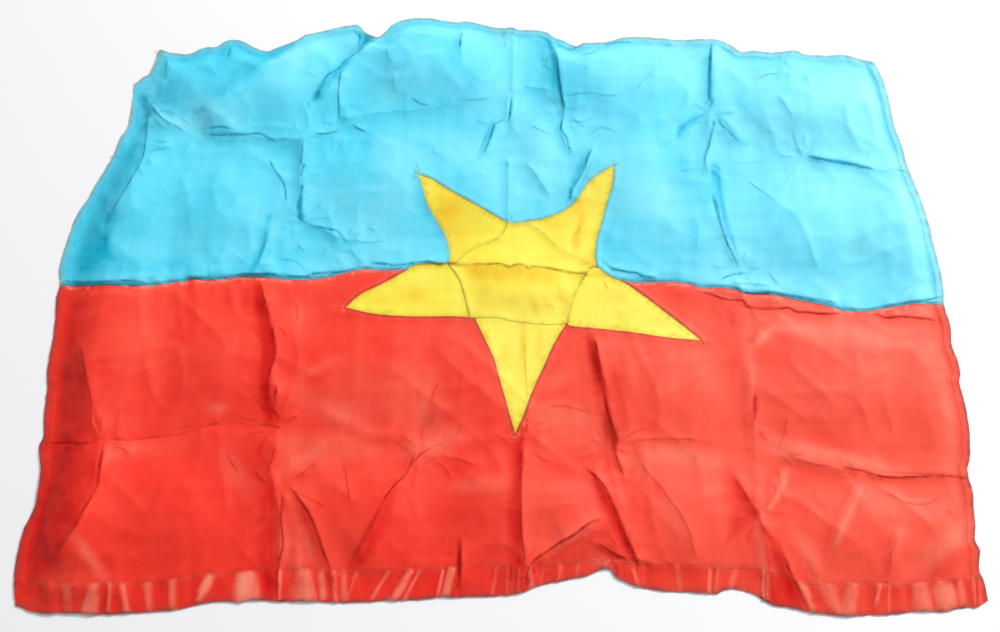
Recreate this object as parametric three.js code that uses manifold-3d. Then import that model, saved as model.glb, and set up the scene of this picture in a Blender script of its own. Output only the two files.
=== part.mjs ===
// A two-colour cloth flag with a pieced five-point star, lying open and creased on a flat surface.
// Millimetres, +Z up. X runs along the near hem, Y away from it, and Z = 0 is the surface it lies on.
// Every piece is cut from one lying sheet, so the folds run on across the seams.
import * as THREE from "three";
import Module from "manifold-3d";
import { mergeVertices } from "three/addons/utils/BufferGeometryUtils.js";

// Cloth
const CLOTH_THICKNESS = 1.5;
const HEM_EXTRA = 0.9;
const SEAM_GAP = 0.3;

// Plan middle of the outline below, which becomes the part's own origin
const PLAN_MIDDLE = { x: 0.76, y: 19.08 };

// Fineness of the sheet's open stretches, of its folds and of its cut edges
const SHEET_STEP = 24;
const FOLD_STEP = 15;
const EDGE_STEP = 14;

// Closest that two points of the sheet come, along the folds and away from them
const FOLD_CLEARANCE = 6;
const OPEN_CLEARANCE = 13;

// Where rows of points lie beside a fold: its foot and its crest in steps, then its back in runs
const STEP_ROWS = [-1.25, 1.25];
const RUN_ROWS = [0.8, 1.6];

// Length over which a fold rises from nothing at either end of its route
const FOLD_FADE = 30;

// Half of the rectangle from which every piece is cut, and the height that every cut spans
const SHEET_HALF_LENGTH = 440;
const SHEET_HALF_WIDTH = 315;
const CUT_BELOW = -20;
const CUT_HEIGHT = 80;

// Hem widths
const FAR_HEM = 7;
const SIDE_HEM = 8;
const NEAR_HEM = 23;

// How far the cloth is let down, so that its hollows lie flat on the surface
const SETTLE = 2.6;

// The four edges, each from its left or near end, as the cloth lies
const NEAR_EDGE = [
  [-417, -268], [-397, -274], [-350, -275], [-305, -273.5], [-268, -269], [-240, -264.5], [-193, -264],
  [-142, -265.5], [-95, -264], [-45, -261], [0, -260], [25, -254], [55, -247], [82, -240], [96, -238.5],
  [110, -249], [140, -256], [186, -257.5], [212, -257], [228, -265], [258, -272], [295, -276.5],
  [335, -275], [376, -273], [408, -269.5],
];
const RIGHT_EDGE = [
  [418, -264], [414.5, -240], [416, -215], [418, -180], [416, -155], [423, -112], [421, -60], [418, -15],
  [417, 30], [414, 64], [409, 105], [401, 139], [393, 183], [390, 214], [386, 243], [379, 264],
];
const FAR_EDGE = [
  [-370, 238], [-357, 251], [-349, 277], [-320, 272], [-292, 281], [-272, 289], [-250, 279], [-238, 276],
  [-218, 284], [-198, 296], [-169, 304], [-150, 307.5], [-139, 297], [-126, 293], [-112, 306], [-90, 314.5],
  [-62, 312], [-25, 309], [2, 303.5], [36, 301], [53, 293], [76, 282], [101, 286], [127, 292.5],
  [175, 290], [218, 290], [245, 276], [275, 275], [300, 277], [336, 271], [366, 268],
];
const LEFT_EDGE = [
  [-420, -254], [-421.5, -225], [-415, -194], [-411.5, -165], [-415.5, -128], [-415, -105], [-418, -60],
  [-417, -20], [-418, 5], [-417, 25], [-418.5, 50], [-414, 81], [-406, 104], [-396, 127], [-385, 155],
  [-373, 188], [-370, 215],
];

// Where the blue half is sewn to the red half, from the left edge to the right one
const PANEL_SEAM = [
  [-450, 25], [-397, 21.5], [-332, 21], [-292, 28], [-233, 31], [-185, 28.5], [-135, 38.5], [-92, 39],
  [-40, 43], [0, 43], [45, 39.5], [90, 32], [118, 27], [165, 26], [205, 20.5], [260, 13], [315, -1],
  [345, -2.5], [385, 3.5], [450, 3],
];

// The star: tips and notches in turn, each side with the bend that its cut and its folds give it
const STAR_SIDES = [
  [[-81, 137], [-57, 124], [-25, 104.5], [6, 86.5]],
  [[6, 86.5], [28, 88.5], [60, 99], [85, 128], [110.5, 145.5]],
  [[110.5, 145.5], [103, 110], [91, 66], [91, 42]],
  [[91, 42], [118, 25], [148, 2], [185.5, -31]],
  [[185.5, -31], [140, -26], [100, -21], [61, -14]],
  [[61, -14], [39, -56], [25, -93], [12.3, -119]],
  [[12.3, -119], [2, -83], [-9, -42], [-25, -9]],
  [[-25, -9], [-60, -8], [-100, -6], [-146, 1]],
  [[-146, 1], [-113, 24.5], [-85, 41.5], [-50, 45]],
  [[-50, 45], [-52, 70], [-68, 100], [-81, 137]],
];

// The five seams around the middle of the star, which run just past its notches
const STAR_MIDDLE_SIDES = [
  [[-51, 45], [-32.5, 57], [-12, 67], [6, 88]],
  [[6, 88], [29, 84.5], [48, 69], [92, 41]],
  [[92, 41], [80, 31], [70, 12], [62, -14.5]],
  [[62, -14.5], [36, -15.5], [5, -10.5], [-26, -10]],
  [[-26, -10], [-35, 12], [-51, 45]],
];

// Broad swells between the old storage folds: middle, half-widths along X and Y, height
const SWELLS = [
  { at: [-292, 222], reach: [46, 34], height: 7 },
  { at: [-215, 232], reach: [52, 44], height: 9 },
  { at: [-82, 262], reach: [56, 46], height: 13 },
  { at: [-20, 245], reach: [34, 44], height: 6 },
  { at: [92, 250], reach: [46, 40], height: 9 },
  { at: [158, 240], reach: [40, 44], height: 6 },
  { at: [285, 215], reach: [62, 40], height: 7 },
  { at: [350, 205], reach: [36, 42], height: 4 },
  { at: [-350, 105], reach: [34, 56], height: 5 },
  { at: [-275, 112], reach: [52, 48], height: 7 },
  { at: [-105, 130], reach: [64, 44], height: 6 },
  { at: [-20, 120], reach: [42, 40], height: 5 },
  { at: [38, 165], reach: [24, 30], height: 5 },
  { at: [130, 150], reach: [48, 50], height: 7 },
  { at: [160, 78], reach: [46, 36], height: 5 },
  { at: [300, 82], reach: [70, 48], height: 7 },
  { at: [385, 90], reach: [30, 60], height: 4 },
  { at: [-340, -50], reach: [52, 56], height: 5 },
  { at: [-262, -42], reach: [40, 56], height: 6 },
  { at: [-120, -62], reach: [66, 46], height: 6 },
  { at: [-30, -70], reach: [30, 40], height: 4 },
  { at: [20, 20], reach: [60, 34], height: 4 },
  { at: [150, -75], reach: [50, 44], height: 6 },
  { at: [310, -75], reach: [70, 52], height: 7 },
  { at: [388, -80], reach: [26, 60], height: 4 },
  { at: [-300, -190], reach: [56, 46], height: 6 },
  { at: [-390, -190], reach: [26, 50], height: 4 },
  { at: [-115, -190], reach: [56, 42], height: 6 },
  { at: [-10, -185], reach: [30, 44], height: 5 },
  { at: [60, -190], reach: [36, 36], height: 7 },
  { at: [170, -195], reach: [48, 40], height: 6 },
  { at: [300, -210], reach: [60, 42], height: 7 },
  { at: [385, -205], reach: [30, 40], height: 5 },
];

// Main folds, each along the foot of its steep side, with the raised cloth on the left of the route:
// height, width of the steep side, and how far the raised cloth runs on before it lies down again
const FOLDS = [
  { route: [[-196, 305], [-222, 268], [-250, 242], [-278, 215], [-318, 176]], height: 12, step: 7, run: 46 },
  { route: [[-118, 305], [-135, 282], [-156, 262], [-176, 240], [-190, 205]], height: 10, step: 5, run: 38 },
  { route: [[-139, 312], [-145, 290], [-148, 268]], height: 6, step: 4, run: 14 },
  { route: [[-40, 318], [-42, 282], [-38, 250]], height: 5, step: 4, run: 22 },
  { route: [[42, 304], [53, 275], [58, 245], [63, 206], [60, 184], [70, 150]], height: 9, step: 5, run: 30 },
  { route: [[11, 240], [9, 203], [-4, 188], [-20, 154]], height: 4, step: 4, run: 16 },
  { route: [[94, 178], [84, 152], [72, 126], [64, 100]], height: 5, step: 4, run: 16 },
  { route: [[217, 300], [212, 252], [209, 214], [205, 180], [200, 148], [204, 128]], height: 7, step: 4.5,
    run: 20 },
  { route: [[204, 138], [206, 112], [214, 72], [228, 30]], height: 5, step: 4.5, run: 18 },
  { route: [[176, 182], [192, 198], [209, 206]], height: 4, step: 4, run: 12 },
  { route: [[213, 204], [226, 182], [244, 162]], height: 4, step: 5, run: 14 },
  { route: [[288, 160], [312, 154], [345, 148], [380, 141], [415, 139]], height: 6, step: 4, run: 17 },
  { route: [[-196, 190], [-197, 150], [-195, 112], [-189, 82]], height: 5, step: 4, run: 18 },
  { route: [[-200, 92], [-176, 82], [-152, 70], [-108, 66]], height: 3.5, step: 4, run: 14 },
  { route: [[-353, 218], [-350, 160], [-362, 118], [-379, 80]], height: 6, step: 4.5, run: 18 },
  { route: [[-300, 176], [-330, 192], [-354, 218], [-366, 240]], height: 5, step: 4.5, run: 12 },
  { route: [[-304, 184], [-262, 180], [-215, 173], [-172, 181], [-150, 190], [-122, 178]], height: 4.5,
    step: 4, run: 16 },
  { route: [[-222, 92], [-226, 66], [-236, 24]], height: 4, step: 4, run: 14 },
  { route: [[-440, 29], [-392, 24], [-332, 25], [-292, 32], [-233, 34], [-185, 33], [-135, 43], [-60, 45],
    [0, 43], [45, 40], [90, 33]], height: 4.5, step: 4, run: 17 },
  { route: [[70, 36], [128, 31], [185, 25], [220, 22], [260, 15], [305, 5], [345, 0], [385, 7], [440, 16]],
    height: 4.5, step: 4, run: 17 },
  { route: [[-234, 36], [-222, 8], [-209, -40], [-211, -72], [-204, -110]], height: 6, step: 5, run: 18 },
  { route: [[-390, -28], [-376, -71], [-366, -112], [-352, -138]], height: 5, step: 4, run: 16 },
  { route: [[-440, -128], [-380, -129], [-320, -124], [-262, -111], [-195, -116]], height: 4.5, step: 4.5,
    run: 16 },
  { route: [[-354, -118], [-354, -162], [-368, -204], [-394, -240]], height: 5.5, step: 4.5, run: 17 },
  { route: [[-202, -106], [-206, -150], [-195, -190], [-193, -230], [-194, -285]], height: 5.5, step: 4.5,
    run: 15 },
  { route: [[-196, -158], [-170, -188], [-152, -228], [-138, -280]], height: 5.5, step: 5, run: 17 },
  { route: [[-60, -122], [-85, -155], [-107, -187], [-134, -244]], height: 6, step: 5.5, run: 20 },
  { route: [[-96, -132], [-66, -138], [-40, -142], [-10, -150]], height: 3.5, step: 4.5, run: 14 },
  { route: [[-36, -200], [-36, -238], [-42, -282]], height: 6, step: 4, run: 15 },
  { route: [[24, -84], [20, -125], [17, -180], [19, -236], [22, -280]], height: 5.5, step: 4.5, run: 20 },
  { route: [[16, -280], [24, -236], [50, -216], [98, -190]], height: 7, step: 4.5, run: 15 },
  { route: [[66, -142], [86, -160], [101, -192], [114, -222], [126, -256]], height: 8, step: 6, run: 20 },
  { route: [[74, -210], [94, -224], [122, -232]], height: 4, step: 4, run: 10 },
  { route: [[84, -14], [89, -52], [95, -86], [103, -124], [103, -140], [114, -170]], height: 6, step: 4.5,
    run: 20 },
  { route: [[116, -134], [138, -163], [160, -197], [172, -244]], height: 4.5, step: 4.5, run: 16 },
  { route: [[96, -134], [118, -126], [160, -124], [212, -128]], height: 3.5, step: 4, run: 12 },
  { route: [[200, -146], [213, -168], [226, -192], [232, -225], [236, -290]], height: 6, step: 4.5, run: 16 },
  { route: [[228, -40], [229, -90], [228, -150]], height: 4.5, step: 4.5, run: 14 },
  { route: [[238, -136], [285, -148], [330, -156], [372, -158], [440, -159]], height: 6, step: 4.5, run: 17 },
  { route: [[326, -158], [308, -184], [292, -212], [286, -240]], height: 4.5, step: 5, run: 16 },
  { route: [[240, -206], [250, -240], [266, -290]], height: 4.5, step: 4.5, run: 13 },
  { route: [[346, -196], [338, -222], [334, -252]], height: 3.5, step: 4.5, run: 13 },
  { route: [[372, -250], [390, -227], [412, -208]], height: 3.5, step: 5, run: 12 },
];

// A smooth line through hand-set plan points, in equal steps
function smoothLine(points, step) {
  const curve = new THREE.SplineCurve(points.map(([x, y]) => new THREE.Vector2(x, y)));
  const steps = Math.max(2, Math.round(curve.getLength() / step));
  return curve.getSpacedPoints(steps);
}

// Joins lines end to end, leaving out the points that would come twice
function joinLines(lines) {
  const loop = [];
  for (const line of lines) {
    for (const point of line) {
      if (!loop.length || loop[loop.length - 1].distanceTo(point) > 0.5) loop.push(point);
    }
  }
  if (loop[0].distanceTo(loop[loop.length - 1]) < 0.5) loop.pop();
  return loop;
}

// The same line moved sideways, to the left of its direction where the distance is positive
function shiftedLine(line, distance) {
  return line.map((point, i) => {
    const before = line[Math.max(i - 1, 0)];
    const after = line[Math.min(i + 1, line.length - 1)];
    const along = after.clone().sub(before).normalize();
    return new THREE.Vector2(point.x - along.y * distance, point.y + along.x * distance);
  });
}

// How far a plan point is to the left of a line, how far along the line, and how far from its other end
function beside(x, y, line) {
  let nearest = Infinity;
  let found = { left: 0, along: 0 };
  let passed = 0;
  for (let i = 0; i + 1 < line.length; i++) {
    const dx = line[i + 1].x - line[i].x;
    const dy = line[i + 1].y - line[i].y;
    const length = Math.hypot(dx, dy);
    const share = ((x - line[i].x) * dx + (y - line[i].y) * dy) / (length * length);
    const t = THREE.MathUtils.clamp(share, 0, 1);
    const offX = x - line[i].x - t * dx;
    const offY = y - line[i].y - t * dy;
    const distance = Math.hypot(offX, offY);
    if (distance < nearest) {
      nearest = distance;
      found = { left: dx * offY - dy * offX < 0 ? -distance : distance, along: passed + t * length };
    }
    passed += length;
  }
  return { ...found, remaining: passed - found.along };
}

const bell = (distance, spread) => Math.exp(-((distance / spread) ** 2));

const folds = FOLDS.map((fold) => ({ ...fold, line: smoothLine(fold.route, FOLD_STEP) }));

// Rise of one fold at a plan point: up the steep side, over the crest and down its long back
function foldRise(x, y, { line, height, step, run }) {
  const { left, along, remaining } = beside(x, y, line);
  const up = 1 / (1 + Math.exp((-3 * left) / step));
  const down = Math.exp(-((Math.max(left, 0) / run) ** 1.5));
  const ends = THREE.MathUtils.smoothstep(Math.min(along, remaining), 0, FOLD_FADE);
  return height * up * down * ends;
}

// Height of the cloth's underside above the surface
function lieOf(x, y) {
  let height = -SETTLE;
  for (const { at, reach, height: swell } of SWELLS) {
    height += swell * bell(x - at[0], reach[0]) * bell(y - at[1], reach[1]);
  }
  for (const fold of folds) height += foldRise(x, y, fold);
  return Math.max(0, height);
}

// A closed solid from plain vertex and triangle lists
function solidFrom(vertices, triangles) {
  return new wasm.Manifold(
    new wasm.Mesh({
      numProp: 3,
      vertProperties: new Float32Array(vertices),
      triVerts: new Uint32Array(triangles),
    }),
  );
}

// Points spread over the sheet: rows along every fold, and a staggered field between them
function sheetPoints() {
  const points = [];
  const add = (x, y, clearance) => {
    if (Math.abs(x - PLAN_MIDDLE.x) > SHEET_HALF_LENGTH - clearance) return;
    if (Math.abs(y - PLAN_MIDDLE.y) > SHEET_HALF_WIDTH - clearance) return;
    if (points.every((other) => Math.hypot(other.x - x, other.y - y) > clearance)) points.push({ x, y });
  };
  for (const { line, step } of folds) {
    for (const row of STEP_ROWS) {
      for (const { x, y } of shiftedLine(line, row * step)) add(x, y, FOLD_CLEARANCE);
    }
  }
  for (const { line, step, run } of folds) {
    for (const row of RUN_ROWS) {
      for (const { x, y } of shiftedLine(line, step + row * run)) add(x, y, FOLD_CLEARANCE + run / 8);
    }
  }
  const rowStep = SHEET_STEP * Math.sin(Math.PI / 3);
  const rows = Math.ceil(SHEET_HALF_WIDTH / rowStep);
  const columns = Math.ceil(SHEET_HALF_LENGTH / SHEET_STEP);
  for (let row = -rows; row <= rows; row++) {
    for (let column = -columns; column <= columns; column++) {
      const x = PLAN_MIDDLE.x + (column + (row & 1) / 2) * SHEET_STEP;
      const y = PLAN_MIDDLE.y + row * rowStep;
      add(x, y, OPEN_CLEARANCE);
    }
  }
  return points;
}

// Whether a point lies inside the circle through a triangle's three corners
function inCircle(a, b, c, p) {
  const [ax, ay, bx, by, cx, cy] = [a.x - p.x, a.y - p.y, b.x - p.x, b.y - p.y, c.x - p.x, c.y - p.y];
  const [a2, b2, c2] = [ax * ax + ay * ay, bx * bx + by * by, cx * cx + cy * cy];
  return ax * (by * c2 - b2 * cy) - ay * (bx * c2 - b2 * cx) + a2 * (bx * cy - by * cx) > 1e-6;
}

// Delaunay triangles over a rectangle's four corners, which come first, and the points inside it
function triangulated(points) {
  let triangles = [[0, 1, 2], [0, 2, 3]];
  for (let i = 4; i < points.length; i++) {
    const hit = triangles.filter(([a, b, c]) => inCircle(points[a], points[b], points[c], points[i]));
    const rim = new Map();
    for (const [a, b, c] of hit) {
      for (const [from, to] of [[a, b], [b, c], [c, a]]) {
        if (!rim.delete(`${to} ${from}`)) rim.set(`${from} ${to}`, [from, to]);
      }
    }
    const opened = new Set(hit);
    triangles = triangles.filter((triangle) => !opened.has(triangle));
    for (const [from, to] of rim.values()) triangles.push([from, to, i]);
  }
  return triangles;
}

// The whole lying sheet as one closed slab, larger than the cut outline
function lyingSheet(thickness) {
  const vertices = [];
  for (const rise of [thickness, 0]) {
    for (const { x, y, lie } of sheetNet.points) vertices.push(x, y, lie + rise);
  }
  const under = sheetNet.points.length;
  const triangles = [];
  for (const [a, b, c] of sheetNet.triangles) triangles.push(a, b, c, under + a, under + c, under + b);
  for (const [a, b] of [[0, 1], [1, 2], [2, 3], [3, 0]]) {
    triangles.push(a, under + a, under + b, a, under + b, b);
  }
  return solidFrom(vertices, triangles);
}

// The rectangle's corners and the sheet's points with the height of each, and the triangles between them
function netOfSheet() {
  const signs = [[-1, -1], [1, -1], [1, 1], [-1, 1]];
  const corners = signs.map(([sx, sy]) => ({
    x: PLAN_MIDDLE.x + sx * SHEET_HALF_LENGTH,
    y: PLAN_MIDDLE.y + sy * SHEET_HALF_WIDTH,
  }));
  const points = [...corners, ...sheetPoints()].map(({ x, y }) => ({ x, y, lie: lieOf(x, y) }));
  return { points, triangles: triangulated(points) };
}

// An upright prism over a closed plan outline, taller than any fold
function prismOver(outline) {
  const tall = new THREE.ExtrudeGeometry(new THREE.Shape(outline), { depth: CUT_HEIGHT, bevelEnabled: false });
  tall.translate(0, 0, CUT_BELOW);
  tall.deleteAttribute("normal");
  tall.deleteAttribute("uv");
  const merged = mergeVertices(tall, 1e-3);
  return solidFrom(merged.attributes.position.array, merged.index.array);
}

// The slit that a seam leaves along a line
function slitAlong(line) {
  const half = SEAM_GAP / 2;
  const back = shiftedLine(line, -half).reverse();
  return prismOver([...shiftedLine(line, half), ...back]);
}

// A slit around a closed loop, which starts and ends at the same point
function slitAround(sides) {
  return sides.map((side) => slitAlong(overrun(side))).reduce((all, slit) => all.add(slit));
}

// The same line, run on past both ends so that slits cross at a corner
function overrun(line) {
  const ends = [[line[0], line[1]], [line[line.length - 1], line[line.length - 2]]];
  const [first, last] = ends.map(([end, inner]) => {
    return end.clone().add(end.clone().sub(inner).setLength(SEAM_GAP));
  });
  return [first, ...line.slice(1, -1), last];
}

// A mesh in the part's own frame from a solid in plan coordinates
function meshOf(name, solid, material) {
  const { vertProperties, triVerts } = solid.getMesh();
  const geometry = new THREE.BufferGeometry();
  geometry.setAttribute("position", new THREE.BufferAttribute(vertProperties, 3));
  geometry.setIndex(new THREE.BufferAttribute(triVerts, 1));
  geometry.computeVertexNormals();
  const mesh = new THREE.Mesh(geometry, material);
  mesh.name = name;
  mesh.position.set(-PLAN_MIDDLE.x, -PLAN_MIDDLE.y, 0);
  return mesh;
}

const wasm = await Module();
wasm.setup();

const edges = {
  near: smoothLine(NEAR_EDGE, EDGE_STEP),
  right: smoothLine(RIGHT_EDGE, EDGE_STEP),
  far: smoothLine(FAR_EDGE, EDGE_STEP).reverse(),
  left: smoothLine(LEFT_EDGE, EDGE_STEP).reverse(),
};
const outline = joinLines([edges.near, edges.right, edges.far, edges.left]);
const starSides = STAR_SIDES.map((side) => smoothLine(side, EDGE_STEP));
const middleSides = STAR_MIDDLE_SIDES.map((side) => smoothLine(side, EDGE_STEP));
const panelSeam = smoothLine(PANEL_SEAM, EDGE_STEP);

// The hem strips: everything outside the line that each edge's stitches follow
function hemInside() {
  const inner = [
    shiftedLine(edges.near, NEAR_HEM).slice(1, -1),
    shiftedLine(edges.right, SIDE_HEM).slice(2, -1),
    shiftedLine(edges.far, FAR_HEM).slice(1, -1),
    shiftedLine(edges.left, SIDE_HEM).slice(1, -2),
  ];
  return prismOver(joinLines(inner));
}

const sheetNet = netOfSheet();
const cloth = lyingSheet(CLOTH_THICKNESS).intersect(prismOver(outline));
const hems = lyingSheet(CLOTH_THICKNESS + HEM_EXTRA).intersect(prismOver(outline)).subtract(hemInside());
const hemmed = cloth.add(hems);

const star = prismOver(joinLines(starSides));
const starMiddle = prismOver(joinLines(middleSides));
const redCorners = [new THREE.Vector2(450, -320), new THREE.Vector2(-450, -320)];
const redSide = prismOver([...panelSeam, ...redCorners]);
const starSlit = slitAround(starSides);
const middleSlit = slitAround(middleSides);
const panelSlit = slitAlong(panelSeam);

const panels = hemmed.subtract(star).subtract(starSlit).subtract(panelSlit);
const bluePanel = panels.subtract(redSide);
const redPanel = panels.intersect(redSide);
const starCloth = cloth.intersect(star).subtract(starSlit);
const starCentre = starCloth.intersect(starMiddle).subtract(middleSlit);
const starPoints = starCloth.subtract(starMiddle).subtract(middleSlit);

// The tip that each star point ends in
const STAR_TIPS = {
  star_point_far_left: STAR_SIDES[0][0],
  star_point_far_right: STAR_SIDES[2][0],
  star_point_right: STAR_SIDES[4][0],
  star_point_near: STAR_SIDES[6][0],
  star_point_left: STAR_SIDES[8][0],
};

// The loose piece whose box comes nearest to a star tip
function pointAt(tip, pieces) {
  const reach = (piece) => {
    const { min, max } = piece.boundingBox();
    const dx = Math.max(min[0] - tip[0], 0, tip[0] - max[0]);
    const dy = Math.max(min[1] - tip[1], 0, tip[1] - max[1]);
    return Math.hypot(dx, dy);
  };
  return pieces.reduce((best, piece) => (reach(piece) < reach(best) ? piece : best));
}

const clothMaterial = (name, color) => new THREE.MeshStandardMaterial({ name, color, roughness: 0.7, metalness: 0 });
const blueCloth = clothMaterial("blue cloth", 0x6cd8f0);
const redCloth = clothMaterial("red cloth", 0xf0503c);
const yellowCloth = clothMaterial("yellow cloth", 0xf5e14f);

const flag = new THREE.Group();
flag.add(meshOf("blue_panel", bluePanel, blueCloth));
flag.add(meshOf("red_panel", redPanel, redCloth));
flag.add(meshOf("star_center", starCentre, yellowCloth));
const loosePoints = starPoints.decompose();
for (const [name, tip] of Object.entries(STAR_TIPS)) {
  flag.add(meshOf(name, pointAt(tip, loosePoints), yellowCloth));
}

export default flag;
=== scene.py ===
import math

import bpy
import numpy as np
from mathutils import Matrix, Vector, kdtree
from mathutils.geometry import delaunay_2d_cdt


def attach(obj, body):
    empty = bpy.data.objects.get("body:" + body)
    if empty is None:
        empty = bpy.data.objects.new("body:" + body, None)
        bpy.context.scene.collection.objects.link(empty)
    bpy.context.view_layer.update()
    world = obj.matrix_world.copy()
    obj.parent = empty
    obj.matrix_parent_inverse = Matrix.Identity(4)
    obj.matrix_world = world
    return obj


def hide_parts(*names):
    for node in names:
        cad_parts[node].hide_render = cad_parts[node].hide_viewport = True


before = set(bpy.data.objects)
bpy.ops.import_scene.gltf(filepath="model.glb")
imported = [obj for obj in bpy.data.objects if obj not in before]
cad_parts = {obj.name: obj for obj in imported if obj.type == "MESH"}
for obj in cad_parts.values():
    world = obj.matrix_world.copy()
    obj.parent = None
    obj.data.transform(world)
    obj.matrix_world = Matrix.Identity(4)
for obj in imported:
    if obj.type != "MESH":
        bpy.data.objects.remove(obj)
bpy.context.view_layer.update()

# Plan measures are in millimetres, in the plan that the pieces were cut from. Its middle is the part's origin.
MM = 0.001
PLAN_MIDDLE = np.array((0.76, 19.08))
TINY = 1e-12
# Line ends that are closer than this are one point
TOUCHING = 0.2

# Cloth
CLOTH_THICKNESS = 0.3
UNDERSIDE_RISE = 0.05
SEAM_GAP = 0.3
SETTLE = 1.2
# How softly the cloth comes to lie on the surface below it
TOUCH_SOFTNESS = 0.5

# The cloth rises from its left edge over this distance, and sinks again further in
LEFT_SLOPE = 4.6
LEFT_SLOPE_START = 3
LEFT_SLOPE_WIDTH = 46.0
LEFT_SLOPE_REACH = 80.0
LEFT_SLOPE_END = 400

# Near its outer edges the cloth lies lower, and they are a little uneven, as worn cloth is
EDGE_SETTLE = 0.74
EDGE_SETTLE_WIDTH = 24.0
EDGE_WEAR = 0.35
EDGE_WEAR_FADE = 6

# Turned hems: widths, how far they stand over the single cloth, and how sharply
FAR_HEM = 7.0
SIDE_HEM = 8.0
NEAR_HEM_WIDTH = 24.0
NEAR_HEM_REACH = 45
HEM_RISE = 0.45
HEM_STEP = (-0.5, 0.9)
HEM_PUCKER_RISE = 0.8
# How the near hem's puckers sway and how their breadth changes, in their own widths: height, wavelengths and seed
HEM_PUCKER_SWAY = [(0.35, 9, 16, 81)]
HEM_PUCKER_BREADTH = [(0.25, 14, 30, 82)]
HEM_PUCKER_BASE = 0.75
HEM_PUCKER_FLARE = 0.5
HEM_PUCKER_LEAST = 0.6

# Seams: the upper cloth's edge lies over a strip of the lower one
LAP = 2.4
LAP_RISE = 0.35
LAP_STEP = (0.2, 2.4)
LAP_TAPER = 9.0
LAP_REACH = 10
INSET = -SEAM_GAP / 2
# The red cloth's strip under the blue narrows this near the star and this near the outer edges
CLEAR_OF_STAR = (4, 14)
CLEAR_OF_EDGES = (3, 12)

# The two panels dip towards their seam, which is drawn in a little. The dip is shallower inside the star.
SEAM_DIP = 1.4
SEAM_DIP_WIDTH = 5.0
SEAM_PUCKER_WIDTH = 10
IN_STAR = 0.25
STAR_EASE = 12
STAR_PUCKER_WIDTH = 7
STAR_PUCKER_REACH = 14

# Fineness of the cloth meshes: steps between their points, and how close these may come to each other
OPEN_STEP = 3.0
EDGE_STEP = 2.2
CREASE_STEP = 2.4
ROUTE_STEP = 5.0
RIM_STEP = 0.45
OPEN_CLEARANCE = 2.1
CREASE_CLEARANCE = 1.05
EDGE_CLEARANCE = 1.0
# Rows of points beside each crease, beside each dimple in its own widths, and beside sewn edges
CREASE_ROWS = (0, -1.1, 1.1, -2.6, 2.6)
DIMPLE_ROWS = (0, 0.7, -0.7, 1.5, -1.5)
DIMPLE_REACH = 1.5
LAP_ROWS = (1.3, -1.3, LAP + 0.4, LAP + 2.2, -LAP - 0.4, -LAP - 2.2)
SHARP_ANGLE = 75

# Folds and creases. They end softly over a length, or over a part of their own where they are short.
FOLD_FADE = 30.0
CREASE_FADE = 9.0
CREST_FADE = 15
FADE_SHARE = 0.35
GROOVE_WIDTH = 0.85
GROOVE_DEPTH = 0.4
FOLD_GROOVE = 0.1
CREST_SHARE = 0.3
# How far a fold is felt, in runs and in steps, and how much it grows and shrinks along its length
RUN_REACH = 2.6
STEP_REACH = 4
SWING = 0.3
SWING_WAVE = 17
SWING_RUNS = 1.5
SWING_SHIFT = 3.7
SWING_SEED = 7
# The share of their height that folds with a short steep side keep, and how short that side is
STEEP_SHARE = 0.66
STEEP_REACH = 12
# How far the creases wander from a smooth line, and over what length
WANDER = 0.8
WANDER_LENGTH = 13.0
WANDER_FADE = 12

# Layers of unevenness: height, wavelengths and seed
UNEVEN = [(0.4, 31, 37, 11), (0.12, 15, 19, 12), (0.12, 9, 60, 14), (0.12, 60, 8, 15)]
SEAM_DRAWN = [(0.45, 26, 30, 31), (0.25, 9, 20, 32)]
SEAM_PUCKERS = [(0.45, 8, 26, 33)]
STAR_PUCKERS = [(0.22, 6.5, 20, 35)]
NEAR_HEM_WAVES = [(0.4, 7, 60, 21), (0.3, 15, 40, 22)]
SIDE_HEM_WAVES = [(0.25, 40, 7, 23), (0.25, 7, 40, 24)]
# Faint crumples: turn, width and height
CRUMPLES = [(12, 26, 0.7), (-62, 22, 0.6), (48, 30, 0.7), (96, 20, 0.5), (-24, 15, 0.3)]
CRUMPLE_LENGTH = 2.2
CRUMPLE_SEED = 51
# Where the crumples lie: wavelengths and seed, and between which values they rise
CRUMPLED = (70, 60, 61)
CRUMPLED_FROM_TO = (-0.35, 0.5)

# Dimples: depth, and how much shade is painted in them for their depth
DIMPLE_DEPTH = 0.7
DIMPLE_SHADE = 0.75

# Wrinkles: width of the step and run. Those around a knot: how evenly they are spread, their start, swerve, length,
# height and groove.
WRINKLE_STEP = (0.9, 2.0)
WRINKLE_RUN = (5, 11)
WRINKLE_BEND = 0.1
KNOT_SEED = 77
KNOT_SPREAD = 0.35
KNOT_START = 2
KNOT_START_SHARE = 0.35
KNOT_SWERVE = 14
KNOT_LENGTH = (0.35, 1)
KNOT_HEIGHT = (0.18, 0.65)
KNOT_GROOVE = (0.1, 0.5)
# Short chance creases, mostly along the old storage folds, as on any cloth that lay folded for years
CHANCE_CREASES = 90
CHANCE_X = (-405, 405)
CHANCE_Y = (-262, 300)
CHANCE_TURNS = [0, 90, 180, 270]
CHANCE_SWERVE = 20
CHANCE_LENGTH = (12, 40)
CHANCE_HEIGHT = (0.08, 0.26)
CHANCE_GROOVE = 0.03

# How far the marks along the sewn edges are felt. As these are ints, their distances are in whole millimetres.
MARK_REACH = 12
HEM_LINE_REACH = 6
INNER_SEAM_REACH = 5
CLEAR_REACH = 20
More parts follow.
